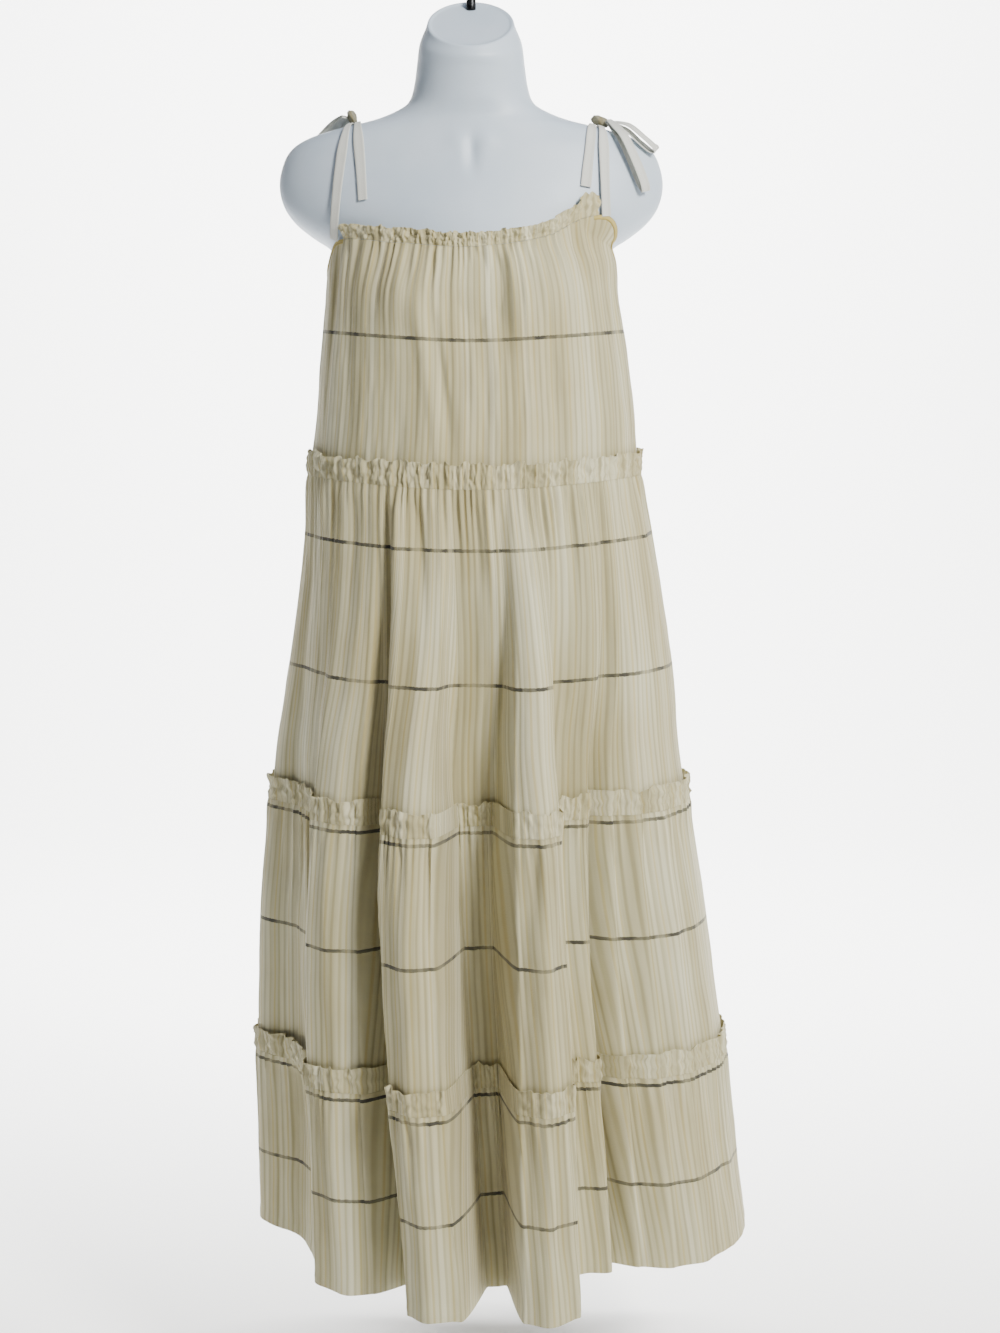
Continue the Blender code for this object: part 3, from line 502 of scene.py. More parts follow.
def striped_cotton(name, tint, lines, painted_light_share=0.0):
    """Light plain-woven cotton: yarn-dyed ivory, flax and pale gold stripes down its length, and a few thin
    charcoal threads across it. Matt, soft at grazing light, a little slubby. Its threads are 0.25 mm apart
    and are drawn 1.1 mm apart, so that they show."""
    made, tree = blank_material(name)
    place = node(tree, "ShaderNodeUVMap", uv_map="cloth")
    across = node(tree, "ShaderNodeSeparateXYZ", {0: place}, "X")
    along = node(tree, "ShaderNodeSeparateXYZ", {0: place}, "Y")

    drift = node(tree, "ShaderNodeTexNoise", {"Vector": place, "Scale": 9.0, "Detail": 1.0})
    wander = node(tree, "ShaderNodeMath", {0: drift, 1: STRIPE_WANDER, 2: across}, operation="MULTIPLY_ADD")
    repeats = node(tree, "ShaderNodeMath", {0: wander, 1: STRIPE_REPEAT}, operation="DIVIDE")
    in_repeat = node(tree, "ShaderNodeMath", {0: repeats}, operation="FRACT")
    colour = node(tree, "ShaderNodeValToRGB", {0: in_repeat}, stops=(
        (0.00, "#e2dfd0"), (0.13, "#e4e1d2"), (0.19, "#cbc6b2"), (0.26, "#cdc8b4"), (0.33, "#dddac9"),
        (0.46, "#e3e0d1"), (0.51, "#d6cdae"), (0.57, "#d7ceb0"), (0.63, "#dedbcc"), (0.76, "#dbd8c8"),
        (0.82, "#c4bfab"), (0.87, "#c6c1ad"), (0.94, "#dfdccd"), (1.00, "#e2dfd0"),
    ))
    slub_place = node(tree, "ShaderNodeVectorMath", {0: place, 1: SLUBS}, operation="MULTIPLY")
    slubs = node(tree, "ShaderNodeTexNoise", {"Vector": slub_place, "Scale": 1.0, "Detail": 2.0})
    slub_tone = node(tree, "ShaderNodeValToRGB", {0: slubs}, stops=(
        (0.30, "#d2ccb9"), (0.50, "#e8e5da"), (0.70, "#fbf9f2"),
    ))
    band_place = node(tree, "ShaderNodeVectorMath", {0: place, 1: BANDS}, operation="MULTIPLY")
    bands = node(tree, "ShaderNodeTexNoise", {"Vector": band_place, "Scale": 1.0, "Detail": 1.0})
    band_tone = node(tree, "ShaderNodeValToRGB", {0: bands}, stops=(
        (0.36, "#cfcab6"), (0.50, "#e9e6d8"), (0.62, "#ffffff"),
    ))
    object_place = node(tree, "ShaderNodeTexCoord", output="Object")
    clouds = node(tree, "ShaderNodeTexNoise", {"Vector": object_place, "Scale": 6.0, "Detail": 3.0})
    cloud_tone = node(tree, "ShaderNodeValToRGB", {0: clouds}, stops=((0.35, "#efe9dc"), (0.65, "#ffffff")))
    for share, tone in ((0.55, slub_tone), (0.7, band_tone), (0.8, cloud_tone), (1.0, srgb(tint))):
        colour = node(
            tree, "ShaderNodeMix", {0: share, 6: colour, 7: tone}, 2, data_type="RGBA", blend_type="MULTIPLY",
        )
    # Painted light: the colour is mixed this far toward pale bluish white, which brightens cloth that lies in
    # shade.
    if painted_light_share:
        colour = node(tree, "ShaderNodeMix", {0: painted_light_share, 6: colour, 7: srgb("#eff2f5")}, 2, data_type="RGBA")
    if lines:
        rough = node(tree, "ShaderNodeTexNoise", {"Vector": place, "Scale": 320.0, "Detail": 1.0})
        height = node(tree, "ShaderNodeMath", {0: rough, 1: LINE_ROUGH, 2: along}, operation="MULTIPLY_ADD")
        marks = 0.0
        for down in DARK_LINES:
            middle = LINE_ROUGH / 2 - down
            one = node(tree, "ShaderNodeMath", {0: height, 1: middle, 2: LINE_HALF}, operation="COMPARE")
            marks = node(tree, "ShaderNodeMath", {0: one, 1: marks}, operation="MAXIMUM")
        worn = node(tree, "ShaderNodeTexNoise", {"Vector": place, "Scale": 34.0, "Detail": 2.0})
        strength = node(tree, "ShaderNodeMapRange", {0: worn, 1: 0.35, 2: 0.6, 3: 0.40, 4: 0.95})
        marks = node(tree, "ShaderNodeMath", {0: marks, 1: strength}, operation="MULTIPLY")
        colour = node(tree, "ShaderNodeMix", {0: marks, 6: colour, 7: srgb("#35342f")}, 2, data_type="RGBA")

    weave_place = node(tree, "ShaderNodeVectorMath", {0: place, 1: (1 / THREAD,) * 3}, operation="MULTIPLY")
    weave = node(tree, "ShaderNodeTexNoise", {"Vector": weave_place, "Scale": 1.0, "Detail": 2.0})
    raised = node(tree, "ShaderNodeMath", {0: slubs, 1: 1.6, 2: weave}, operation="MULTIPLY_ADD")
    bump = node(tree, "ShaderNodeBump", {"Strength": 0.35, "Distance": 0.0007, "Height": raised})
    surface = node(tree, "ShaderNodeBsdfPrincipled", {
        "Base Color": colour, "Roughness": 0.86, "IOR": 1.45, "Sheen Weight": 0.22, "Sheen Roughness": 0.45,
        "Sheen Tint": srgb("#fffaf0"), "Specular IOR Level": 0.30, "Normal": bump,
    })
    node(tree, "ShaderNodeOutputMaterial", {0: surface})
    return made


def moulded_polythene():
    """Blow-moulded polythene of a display form: bluish white, satin, very slightly uneven from its mould."""
    made, tree = blank_material("blow-moulded white polythene, satin")
    place = node(tree, "ShaderNodeTexCoord", output="Object")
    uneven = node(tree, "ShaderNodeTexNoise", {"Vector": place, "Scale": 14.0, "Detail": 3.0})
    colour = node(tree, "ShaderNodeValToRGB", {0: uneven}, stops=((0.30, "#b9c7d6"), (0.70, "#c3cfdc")))
    grain = node(tree, "ShaderNodeTexNoise", {"Vector": place, "Scale": 700.0, "Detail": 1.0})
    height = node(tree, "ShaderNodeMath", {0: uneven, 1: 6.0, 2: grain}, operation="MULTIPLY_ADD")
    bump = node(tree, "ShaderNodeBump", {"Strength": 0.10, "Distance": 0.0006, "Height": height})
    gloss = node(tree, "ShaderNodeMapRange", {0: uneven, 1: 0.3, 2: 0.7, 3: 0.42, 4: 0.52})
    surface = node(tree, "ShaderNodeBsdfPrincipled", {
        "Base Color": colour, "Roughness": gloss, "IOR": 1.51, "Normal": bump,
        "Subsurface Weight": 0.10, "Subsurface Radius": (0.008, 0.008, 0.009), "Subsurface Scale": 0.5,
    })
    node(tree, "ShaderNodeOutputMaterial", {0: surface})
    return made


def plated_wire():
    """Steel wire with a black nickel plate: dark, semi-gloss, lightly scuffed where rails rub it."""
    made, tree = blank_material("black nickel plated steel wire")
    place = node(tree, "ShaderNodeTexCoord", output="Object")
    scuffs = node(tree, "ShaderNodeTexNoise", {"Vector": place, "Scale": 260.0, "Detail": 3.0})
    colour = node(tree, "ShaderNodeValToRGB", {0: scuffs}, stops=((0.45, "#2a2b2d"), (0.72, "#56585b")))
    gloss = node(tree, "ShaderNodeMapRange", {0: scuffs, 1: 0.3, 2: 0.7, 3: 0.26, 4: 0.46})
    surface = node(tree, "ShaderNodeBsdfPrincipled", {
        "Base Color": colour, "Metallic": 1.0, "Roughness": gloss,
    })
    node(tree, "ShaderNodeOutputMaterial", {0: surface})
    return made


def studio_paper():
    """Seamless white background paper, matt."""
    made, tree = blank_material("white background paper")
    surface = node(tree, "ShaderNodeBsdfPrincipled", {
        "Base Color": srgb("#fbfbfa"), "Roughness": 0.95, "Specular IOR Level": 0.1,
    })
    node(tree, "ShaderNodeOutputMaterial", {0: surface})
    return made


def through(x, xs, ys):
    """A smooth curve through the points (xs, ys), read at every x, with level ends."""
    slope = np.zeros(len(xs))
    slope[1:-1] = (ys[2:] - ys[:-2]) / (xs[2:] - xs[:-2])
    i = np.clip(np.searchsorted(xs, x) - 1, 0, len(xs) - 2)
    span = xs[i + 1] - xs[i]
    t = np.clip((x - xs[i]) / span, 0.0, 1.0)
    return (
        (1 + 2 * t) * (1 - t) ** 2 * ys[i] + t * (1 - t) ** 2 * span * slope[i]
        + t * t * (3 - 2 * t) * ys[i + 1] + t * t * (t - 1) * span * slope[i + 1]
    )


def ring(table, angle, down):
    """Distance from the middle of a table's outline to its edge, at every angle and height."""
    half, front, back, square = (through(down, table[:, 0], table[:, k]) for k in (1, 2, 3, 4))
    across = np.abs(np.sin(angle)) / half
    along = np.abs(np.cos(angle)) / np.where(np.cos(angle) > 0, front, back)
    return (across ** square + along ** square) ** (-1 / square)


def eased(share):
    """A share from 0 to 1 with a level start and end."""
    return share * share * (3 - 2 * share)


def degrees_off(angle, middle):
    """How many degrees an angle is past a direction, from -180 to 180."""
    return (np.degrees(angle) - middle + 180) % 360 - 180


def fold_reach(angle, down):
    """How far the big folds move the cloth out, or in, at every place."""
    grown = eased(np.clip((down - FOLDS_START) / (FOLDS_FULL - FOLDS_START), 0.0, 1.0))
    low = np.clip((down - SEAM_DOWN[0]) / (HEM_DOWN - SEAM_DOWN[0]), 0.0, 1.0)
    places = [waist + (hem - waist) * low for waist, hem, reach in FOLDS]
    places.append(places[0] + 360)
    degrees = places[0] + (np.degrees(angle) - places[0]) % 360
    reach = np.zeros_like(degrees)
    for i, fold in enumerate(FOLDS):
        t = eased(np.clip((degrees - places[i]) / (places[i + 1] - places[i]), 0.0, 1.0))
        here = (degrees >= places[i]) & (degrees < places[i + 1])
        reach = np.where(here, fold[2] * (1 - t) + FOLDS[(i + 1) % len(FOLDS)][2] * t, reach)
    return grown * reach


def sag(angle, down):
    """How much lower than its level the cloth hangs in front, between its two straps."""
    depth = np.interp(down, SAG[:, 0], SAG[:, 1])
    shown = np.clip((down - SAG_STARTS) / SAG_GROWS_OVER, 0.0, 1.0)
    return depth * shown * np.maximum(np.cos(angle), 0.0) ** 1.5


def soft_noise(x, y, seed):
    """Smooth unevenness from -1 to 1, one lump a unit, the same on every run."""
    table = np.random.default_rng(seed).uniform(-1, 1, (64, 64))
    ix, iy = np.floor(x).astype(int), np.floor(y).astype(int)
    fx, fy = x - ix, y - iy
    fx, fy = eased(fx), eased(fy)
    low = table[ix % 64, iy % 64] * (1 - fx) + table[(ix + 1) % 64, iy % 64] * fx
    high = table[ix % 64, (iy + 1) % 64] * (1 - fx) + table[(ix + 1) % 64, (iy + 1) % 64] * fx
    return low * (1 - fy) + high * fy


class Gathers:
    """The small gathers along one line of stitches: uneven in width, height and length."""

    def __init__(self, seed, count):
        chance = np.random.default_rng(seed)
        widths = chance.uniform(*GATHER_WIDTHS, count)
        self.edges = np.concatenate(([0.0], np.cumsum(widths))) / widths.sum() * 2 * math.pi
        self.height = chance.uniform(*GATHER_HEIGHTS, count)
        self.length = GATHER_SHORTEST + GATHER_LONGER * chance.uniform(0.0, 1.0, count) ** 2.2
        self.frill = chance.uniform(*FRILL_WAVES, count)
        self.lean = chance.uniform(*FRILL_LEANS, count)
        self.count = count

    def cell(self, angle):
        """Which gather each angle is in, and how far across it."""
        turn = (angle + math.pi) % (2 * math.pi)
        i = np.clip(np.searchsorted(self.edges, turn, side="right") - 1, 0, self.count - 1)
        return i, (turn - self.edges[i]) / (self.edges[i + 1] - self.edges[i])

    def below(self, angle, distance):
        """Their reach below the stitches, as a share: it fades, each in its own length."""
        i, t = self.cell(angle)
        fade = np.exp(-(np.maximum(distance, 0.0) / self.length[i]) ** 1.4)
        return self.height[i] * np.sin(math.pi * t) ** 2 * fade

    def opened(self, angle, share):
        """The frill's wave as a share: gathers at the stitches, opening in pairs towards its free edge."""
        i, t = self.cell(angle)
        small = self.height[i] * np.sin(math.pi * t) ** 2
        pair = i // 2 * 2
        last = np.minimum(pair + 2, self.count)
        turn = (angle + math.pi) % (2 * math.pi)
        wide = (turn - self.edges[pair]) / (self.edges[last] - self.edges[pair])
        bent = np.clip(wide + self.lean[pair] * np.sin(math.pi * wide) * share, 0.0, 1.0)
        return small, self.frill[pair] * np.sin(math.pi * bent) ** 2


GATHERS = {1: Gathers(11, 86), 2: Gathers(23, 118), 3: Gathers(37, 156), 4: Gathers(41, 178)}


def crease_reach(angle, down):
    """The listed creases, in metres out of the surface."""
    radius = np.interp(down, MEAN_RADIUS[:, 0], MEAN_RADIUS[:, 1])
    total = np.zeros_like(down)
    for crease in CREASES:
        share = (down - crease.down_from) / (crease.down_to - crease.down_from)
        if np.all(share < -0.05) or np.all(share > 1.05):
            continue
        start = 1.0 if crease.deepest < 0.1 else CREASE_START
        stops = (-0.08, 0.0, max(crease.deepest, 0.001), 1.0)
        strength = eased(np.interp(share, stops, (0.0, start, 1.0, 0.0)))
        along = np.clip(share, 0.0, 1.0)
        middle = crease.deg_from + (crease.deg_to - crease.deg_from) * along
        width = crease.width / 1000 * (0.75 + 0.5 * along)
        distance = np.radians(degrees_off(angle, middle)) * radius / width
        total += crease.depth / 1000 * strength * np.exp(-distance ** 2)
    return CREASE_FACTOR * total


def swell_reach(table, angle, down):
    """The reach of all the soft swellings and hollows of a table."""
    total = np.zeros_like(down)
    for degrees, middle, wide, tall, reach in table:
        total += reach * np.exp(-(degrees_off(angle, degrees) / wide) ** 2 - ((down - middle) / tall) ** 2)
    return total


def cloth_point(angle, down, out=0.0, lift=0.0, raised=0.0):
    """Points of the cloth's outer face: moved straight out, moved off along the cloth's own normal (lift,
    with no sideways part at the side seams), or raised as the top of a frill is, and never near the form."""
    shift_x = through(down, DRESS[:, 0], DRESS[:, 5])
    radius = ring(DRESS, angle, down) + fold_reach(angle, down)
    above = down - raised
    radius = np.maximum(radius, ring(DRESS, angle, above) + fold_reach(angle, above))
    over_form = above < FORM[-1, 0]
    skin = ring(FORM, angle, np.minimum(above, FORM[-1, 0])) - shift_x * np.sin(angle)
    radius = np.where(over_form, np.maximum(radius, skin + OFF_SKIN), radius)
    step = 0.004
    ahead = ring(DRESS, angle + step, down) + fold_reach(angle + step, down)
    behind = ring(DRESS, angle - step, down) + fold_reach(angle - step, down)
    turn = (ahead - behind) / (2 * step)
    flat = 1 / np.hypot(1, turn / radius)
    steep = turn / radius * flat * np.minimum(np.abs(np.cos(angle)) * SIDEWAYS_FADES, 1.0)
    off = np.where(over_form, np.maximum(lift, (skin + LIFTED_OFF_SKIN - radius - out) / flat), lift)
    outward, sideways = radius + out + off * flat, -off * steep
    return np.stack((
        shift_x + outward * np.sin(angle) + sideways * np.cos(angle),
        BODY_Y - outward * np.cos(angle) + sideways * np.sin(angle),
        NECK_CAP_Z - down - sag(angle, down) + raised,
    ), axis=-1)


def details(angle, down):
    """What the cloth does on its own between the folds: creases, soft unevenness and the side seams."""
    reach = crease_reach(angle, down) + swell_reach(SWELLS, angle, down)
    for size, degrees, tall, start_across, start_down, seed in UNEVEN:
        lumps = soft_noise(np.degrees(angle) / degrees + start_across, down / tall + start_down, seed)
        reach += size * lumps
    from_side = np.abs(np.abs(degrees_off(angle, 0)) - 90)
    return reach - SIDE_SEAM_DIP * np.exp(-(from_side / SIDE_SEAM_DEGREES) ** 2)


def edge_at(table, angle):
    """The height of an edge at every angle."""
    return through(degrees_off(angle, 0), table[:, 0], table[:, 1])


def top_of_dress(angle):
    """The height of the first tier's top edge at every angle."""
    return edge_at(TOP_EDGE, angle)


def neck_share(angle):
    """1 where the top edge is gathered in the neckline, 0 at the armholes, and even between."""
    degrees = np.degrees(angle)
    share = np.zeros_like(degrees)
    for first, last in (FRONT_NECK, BACK_NECK):
        starts = np.clip((degrees - first) / NECK_ENDS_OVER, 0, 1)
        share += starts * np.clip((last - degrees) / NECK_ENDS_OVER, 0, 1)
    return share


def grid_piece(name, points, places, thickness, material):
    """A cloth panel: a grid that is laid on the given points, with its place in the cloth as its UV map in
    metres, and given its thickness inwards."""
    rows, columns = points.shape[:2]
    bpy.ops.object.select_all(action="DESELECT")
    bpy.ops.mesh.primitive_grid_add(x_subdivisions=columns - 1, y_subdivisions=rows - 1, size=1.0)
    piece = bpy.context.object
    piece.name = name
    mesh = piece.data
    mesh.name = name
    assert len(mesh.vertices) == rows * columns
    mesh.vertices.foreach_set("co", points[::-1].reshape(-1))
    layer = mesh.uv_layers.active or mesh.uv_layers.new()
    layer.name = "cloth"
    index = np.empty(len(mesh.loops), dtype=np.int32)
    mesh.loops.foreach_get("vertex_index", index)
    layer.data.foreach_set("uv", places[::-1].reshape(-1, 2)[index].reshape(-1))
    mesh.update()
    wall = piece.modifiers.new("cotton", "SOLIDIFY")
    wall.thickness = thickness
    wall.offset = -1.0
    wall.use_even_offset = False
    bpy.ops.object.modifier_apply(modifier=wall.name)
    bpy.ops.object.shade_smooth_by_angle(angle=math.radians(60))
    finish(piece, material)
    return piece


def finish(piece, material):
    """The piece's material. It hangs with everything else on the one body."""
    piece.data.materials.clear()
    piece.data.materials.append(material)
    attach(piece, "root")


def widths_along(angles, downs):
    """Arc length round the cloth at one height, as the pattern's place across."""
    line = cloth_point(angles, np.full_like(angles, downs))
    steps = np.linalg.norm(np.diff(line, axis=0), axis=1)
    return np.concatenate(([0.0], np.cumsum(steps)))


def puff(distance):
    """The cloth swells away from a line of stitches over the first few millimetres."""
    return 1 - np.exp(-np.maximum(distance, 0.0) / PUFFS_OVER)


def above_seam(share):
    """How much of its own creases and lumps the cloth shows, down to a seam at its lower edge."""
    return np.clip((1.03 - share) * 9, 0.1, 1)


def below_stitches(share, grows, least):
    """The same for a line of stitches at its upper edge: the least there, and how fast it grows below."""
    return np.clip(share * grows + least, 0, 1)


def build_first_tier(side, angles, material):
    """The top tier, from the gathered neckline and the bound armholes down to the first seam."""
    share = np.linspace(0.0, 1.0, BODICE_ROWS)[:, None] ** BODICE_CROWDING
    top = top_of_dress(angles)[None, :]
    down = top + (SEAM_DOWN[0] + LAP - top) * share
    angle = np.broadcast_to(angles, down.shape)
    gathered = neck_share(angles)[None, :] * GATHERS[1].below(angle, down - top)
    out = gathered * GATHER_REACH * NECK_GATHERS
    lift = details(angle, down) * below_stitches(share, 12, 0.2) * above_seam(share)
    points = cloth_point(angle, down, out, lift)
    across = np.broadcast_to(widths_along(angles, BODICE_MEASURED) * BODICE_FULL, down.shape)
    return grid_piece(f"bodice_{side}", points, np.stack((across, -down), -1), COTTON, material)


def build_lower_tier(number, name, side, angles, material):
    """A gathered tier: it swells out of its seam in uneven gathers, over the big folds."""
    top = SEAM_DOWN[number - 2]
    bottom = SEAM_DOWN[number - 1] + LAP if number < 4 else HEM_DOWN
    gathered_part, hanging_part = np.linspace(0, 0.16, GATHERED_ROWS), np.linspace(0.16, 1.0, HANGING_ROWS)
    share = np.concatenate((gathered_part[:-1], hanging_part))[:, None]
    rise = edge_at(HEM_RISE, angles) if number == 4 else np.zeros_like(angles)
    down = top + (bottom - rise - top) * share
    angle = np.broadcast_to(angles, down.shape)
    gathered = GATHERS[number].below(angle, down - top)
    out = gathered * GATHER_REACH * (0.55 + 0.45 * puff(down - top))
    shown = 1.0 if number == 4 else above_seam(share)
    step = TIER_STEP[number] * np.maximum(1 - share * 1.5, 0)
    lift = step + details(angle, down) * below_stitches(share, 14, 0.1) * shown
    if number == 4:
        hem = np.clip((down - (HEM_DOWN - rise - HEM_STITCHED)) / 0.0015, 0, 1)
        lift = lift + HEM_RIDGE * hem
    points = cloth_point(angle, down, out, lift)
    if number == 4:
        uneven = HEM_UNEVEN * soft_noise(np.degrees(angle) / 7.0 + 50, down * 0, 9)
        points[..., 2] += uneven * share ** 3
    across = np.broadcast_to(widths_along(angles, bottom) * TIER_FULL, down.shape)
    return grid_piece(f"{name}_{side}", points, np.stack((across, -down), -1), COTTON, material)


def build_frill(name, number, angles, stitches, height, flare, wave, step, material):
    """A frill over a line of stitches: gathered tight there, crumpled, lying back on the cloth above it."""
    share = np.linspace(1.0, 0.0, FRILL_ROWS)[:, None]
    angle = np.broadcast_to(angles, (len(share), len(angles)))
    degrees = np.degrees(angle)
    down = stitches(angle)
    small, wide = GATHERS[number].opened(angle, share)
    crumple = np.zeros_like(degrees)
    for reach, lumps, up, start, moved, seed in CRUMPLES:
        crumple += reach * soft_noise(degrees * lumps + start, share * up + number * moved, seed + number)
    out = flare * share ** 1.3 + GATHER_REACH * 0.6 * small * (1 - 0.6 * share) + wave * wide * share ** 0.8
    out += FRILL_CRUMPLE * crumple * np.clip(share * 5, 0.15, 1.0) + FRILL_STANDS_OUT * share
    tall = height * (0.95 + 0.10 * soft_noise(degrees / 4.0 + 31, share * 0, 19 + number))
    tall = tall * (1 + 0.07 * soft_noise(degrees * 0.9 + 11, share * 0, 29 + number))
    if number == 1:
        tall = tall * (1 + CORNER_TALLER * np.exp(-((degrees - RIGHT_CORNER) / CORNER_WIDTH) ** 2))
    raised = SEAM_GAP + tall * share
    lift = step * (1 - share) + FRILL_OFF_CLOTH * share
    points = cloth_point(angle, down - raised, np.maximum(out, 0.0), lift)
    across = np.broadcast_to(widths_along(angles, float(np.mean(down[0]))) * FRILL_FULL, down.shape)
    return grid_piece(name, points, np.stack((across, -down + raised), -1), COTTON, material)


def form_point(angle, down, share, rise):
    """A point of the form: on its skin (share 1) or inside it, raised square to the neck cap."""
    radius = ring(FORM, angle, down) + swell_reach(THROAT, angle, down)
    outward = radius * np.cos(angle)
    leaning = np.maximum(1 - down / LEAN_FADES, 0.0) * math.tan(CAP_LEAN)
    return (
        radius * np.sin(angle) * share,
        BODY_Y + through(down, FORM[:, 0], FORM[:, 6]) - outward * share - rise * math.sin(CAP_LEAN),
        NECK_CAP_Z - down - outward * leaning * share + rise * math.cos(CAP_LEAN),
    )


def build_form(material):
    """The torso form: a closed ball, drawn out through the form's outlines, with a flat leaning neck cap."""
    # rows of height, share of the way out from the middle, and rise over the leaning cap
    cap = [(0.0, s, -0.0006) for s in (0.0, 0.35, 0.7, 0.86)]
    cap += [(0.0, 0.90, -0.0004), (0.0, 0.925, 0.0004), (0.0, 0.965, 0.0006), (0.0, 0.988, 0.0002)]
    body = [(down, 1.0, 0.0) for a, b in zip(FORM[:-1, 0], FORM[1:, 0]) for down in np.linspace(a, b, 5)[:-1]]
    body[0] = (0.0012, 1.0, 0.0)
    base = [(FORM[-1, 0], s, 0.0) for s in (0.995, 0.97, 0.9, 0.6, 0.3, 0.0)]
    profile = np.array(cap + body + base)
    bpy.ops.object.select_all(action="DESELECT")
    bpy.ops.mesh.primitive_uv_sphere_add(segments=112, ring_count=len(profile) - 1, radius=1.0)
    piece = bpy.context.object
    piece.name = "moulded_torso_form"
    mesh = piece.data
    co = np.empty(len(mesh.vertices) * 3, dtype=np.float32)
    mesh.vertices.foreach_get("co", co)
    co = co.reshape(-1, 3)
    row = np.rint(np.arccos(np.clip(co[:, 2], -1, 1)) / math.pi * (len(profile) - 1)).astype(int)
    angle = np.arctan2(co[:, 0], -co[:, 1])
    points = np.stack(form_point(angle, *profile[row].T), -1)
    mesh.vertices.foreach_set("co", points.astype(np.float32).reshape(-1))
    mesh.update()
    smooth = piece.modifiers.new("moulding", "SUBSURF")
    smooth.levels = smooth.render_levels = 1
    bpy.ops.object.modifier_apply(modifier=smooth.name)
    bpy.ops.object.shade_smooth_by_angle(angle=math.radians(40))
    finish(piece, material)
    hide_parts("torso_form")
    return piece


def hook_route():
    """The hook's centre line: up out of the neck, out to one side and round over the rail."""
    centre_z = WIRE / 2 - HOOK_RADIUS
    join = (HOOK_RADIUS * math.cos(HOOK_JOIN), centre_z + HOOK_RADIUS * math.sin(HOOK_JOIN))
    turn = -HOOK_JOIN
    sweep = join[0] / (1 - math.cos(turn))
    stem_top = join[1] - sweep * math.sin(turn)
    cap_z = NECK_CAP_Z + (-BODY_Y - FORM[0, 6]) * math.tan(CAP_LEAN)
    route = [(0.0, cap_z - STEM_IN_CAP)]
    for k in range(13):
        a = turn * k / 12
        route.append((sweep * (1 - math.cos(a)), stem_top + sweep * math.sin(a)))
    for k in range(1, 49):
        a = HOOK_JOIN + (HOOK_TIP - HOOK_JOIN) * k / 48
        route.append((HOOK_RADIUS * math.cos(a), centre_z + HOOK_RADIUS * math.sin(a)))
    return route, cap_z


def build_hook(material):
    """The wire hook, its rounded tip, and the sleeve that holds its stem in the neck cap."""
    route, cap_z = hook_route()
    curve = bpy.data.curves.new("hook", "CURVE")
    curve.dimensions = "3D"
    curve.bevel_depth = WIRE / 2
    curve.bevel_resolution = 6
    curve.use_fill_caps = True
    spline = curve.splines.new("POLY")
    spline.points.add(len(route) - 1)
    for point, (x, z) in zip(spline.points, route):
        point.co = (x, 0.0, z, 1.0)
    wire = bpy.data.objects.new("hook_wire", curve)
    bpy.context.scene.collection.objects.link(wire)
    bpy.ops.object.select_all(action="DESELECT")
    wire.select_set(True)
    bpy.context.view_layer.objects.active = wire
    bpy.ops.object.convert(target="MESH")
    wire = bpy.context.object

    bpy.ops.object.select_all(action="DESELECT")
    bpy.ops.mesh.primitive_uv_sphere_add(
        segments=24, ring_count=14, radius=TIP_RADIUS, location=(route[-1][0], 0.0, route[-1][1]),
    )
    tip = bpy.context.object
    bpy.ops.object.select_all(action="DESELECT")
    bpy.ops.mesh.primitive_cylinder_add(
        vertices=32, radius=SLEEVE_RADIUS, depth=SLEEVE_HEIGHT, location=(0.0, 0.0, cap_z + SLEEVE_MIDDLE),
    )
    sleeve = bpy.context.object
    edge = sleeve.modifiers.new("turned edge", "BEVEL")
    edge.width = SLEEVE_EDGE
    edge.segments = 3
    bpy.ops.object.modifier_apply(modifier=edge.name)
    bpy.ops.object.select_all(action="DESELECT")
    for part in (tip, sleeve, wire):
        part.select_set(True)
    bpy.context.view_layer.objects.active = wire
    bpy.ops.object.join()
    bpy.ops.object.transform_apply(location=True, rotation=True, scale=True)
    wire.name = "hanging_hook"
    bpy.ops.object.shade_smooth_by_angle(angle=math.radians(40))
    finish(wire, material)
    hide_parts("hook")


def shoulder_top(x):
    """The height of the form's shoulder line at one X."""
    return float(np.interp(abs(x), FORM[:SHOULDER_ROWS, 1], FORM[:SHOULDER_ROWS, 0]))


def shoulder_skin(x, share, far_down, side):
    """A point of the skin on the front or back of a shoulder, from its line (share 0) down to far_down."""
    down = shoulder_top(x) + (far_down - shoulder_top(x)) * share ** 2
    half, front, back, square, _, shift_y = (
        float(through(down, FORM[:, 0], FORM[:, k])) for k in range(1, 7)
    )
    inside = max(1 - (abs(x) / half) ** square, 0.0)
    y = BODY_Y + shift_y + side * (front if side < 0 else back) * inside ** (1 / square)
    return Vector((x, y, NECK_CAP_Z - down))


def off_shoulder(x, share, far_down, side, off):
    """The same point held off the skin, and the direction across the shoulder there, towards +X."""
    point = shoulder_skin(x, share, far_down, side)
    if share < 0.04:
        along = Vector((0, 1, 0))
    else:
        above, below = (shoulder_skin(x, share + s, far_down, side) for s in (-0.04, 0.04))
        along = (above - below).normalized() * -side
    before, after = (shoulder_skin(x + s, share, far_down, side) for s in (-0.003, 0.003))
    across = after - before
    across = (across - along * across.dot(along)).normalized()
    return point + across.cross(along) * off, across


def smooth_route(points, count):
    """Points of a smooth curve through the given ones, at even steps of its length."""
    points = np.array([list(p) for p in points])
    lengths = np.concatenate(([0.0], np.cumsum(np.linalg.norm(np.diff(points, axis=0), axis=1))))
    at = np.linspace(0.0, lengths[-1], count)
    return np.stack([through(at, lengths, points[:, k]) for k in range(3)], -1)


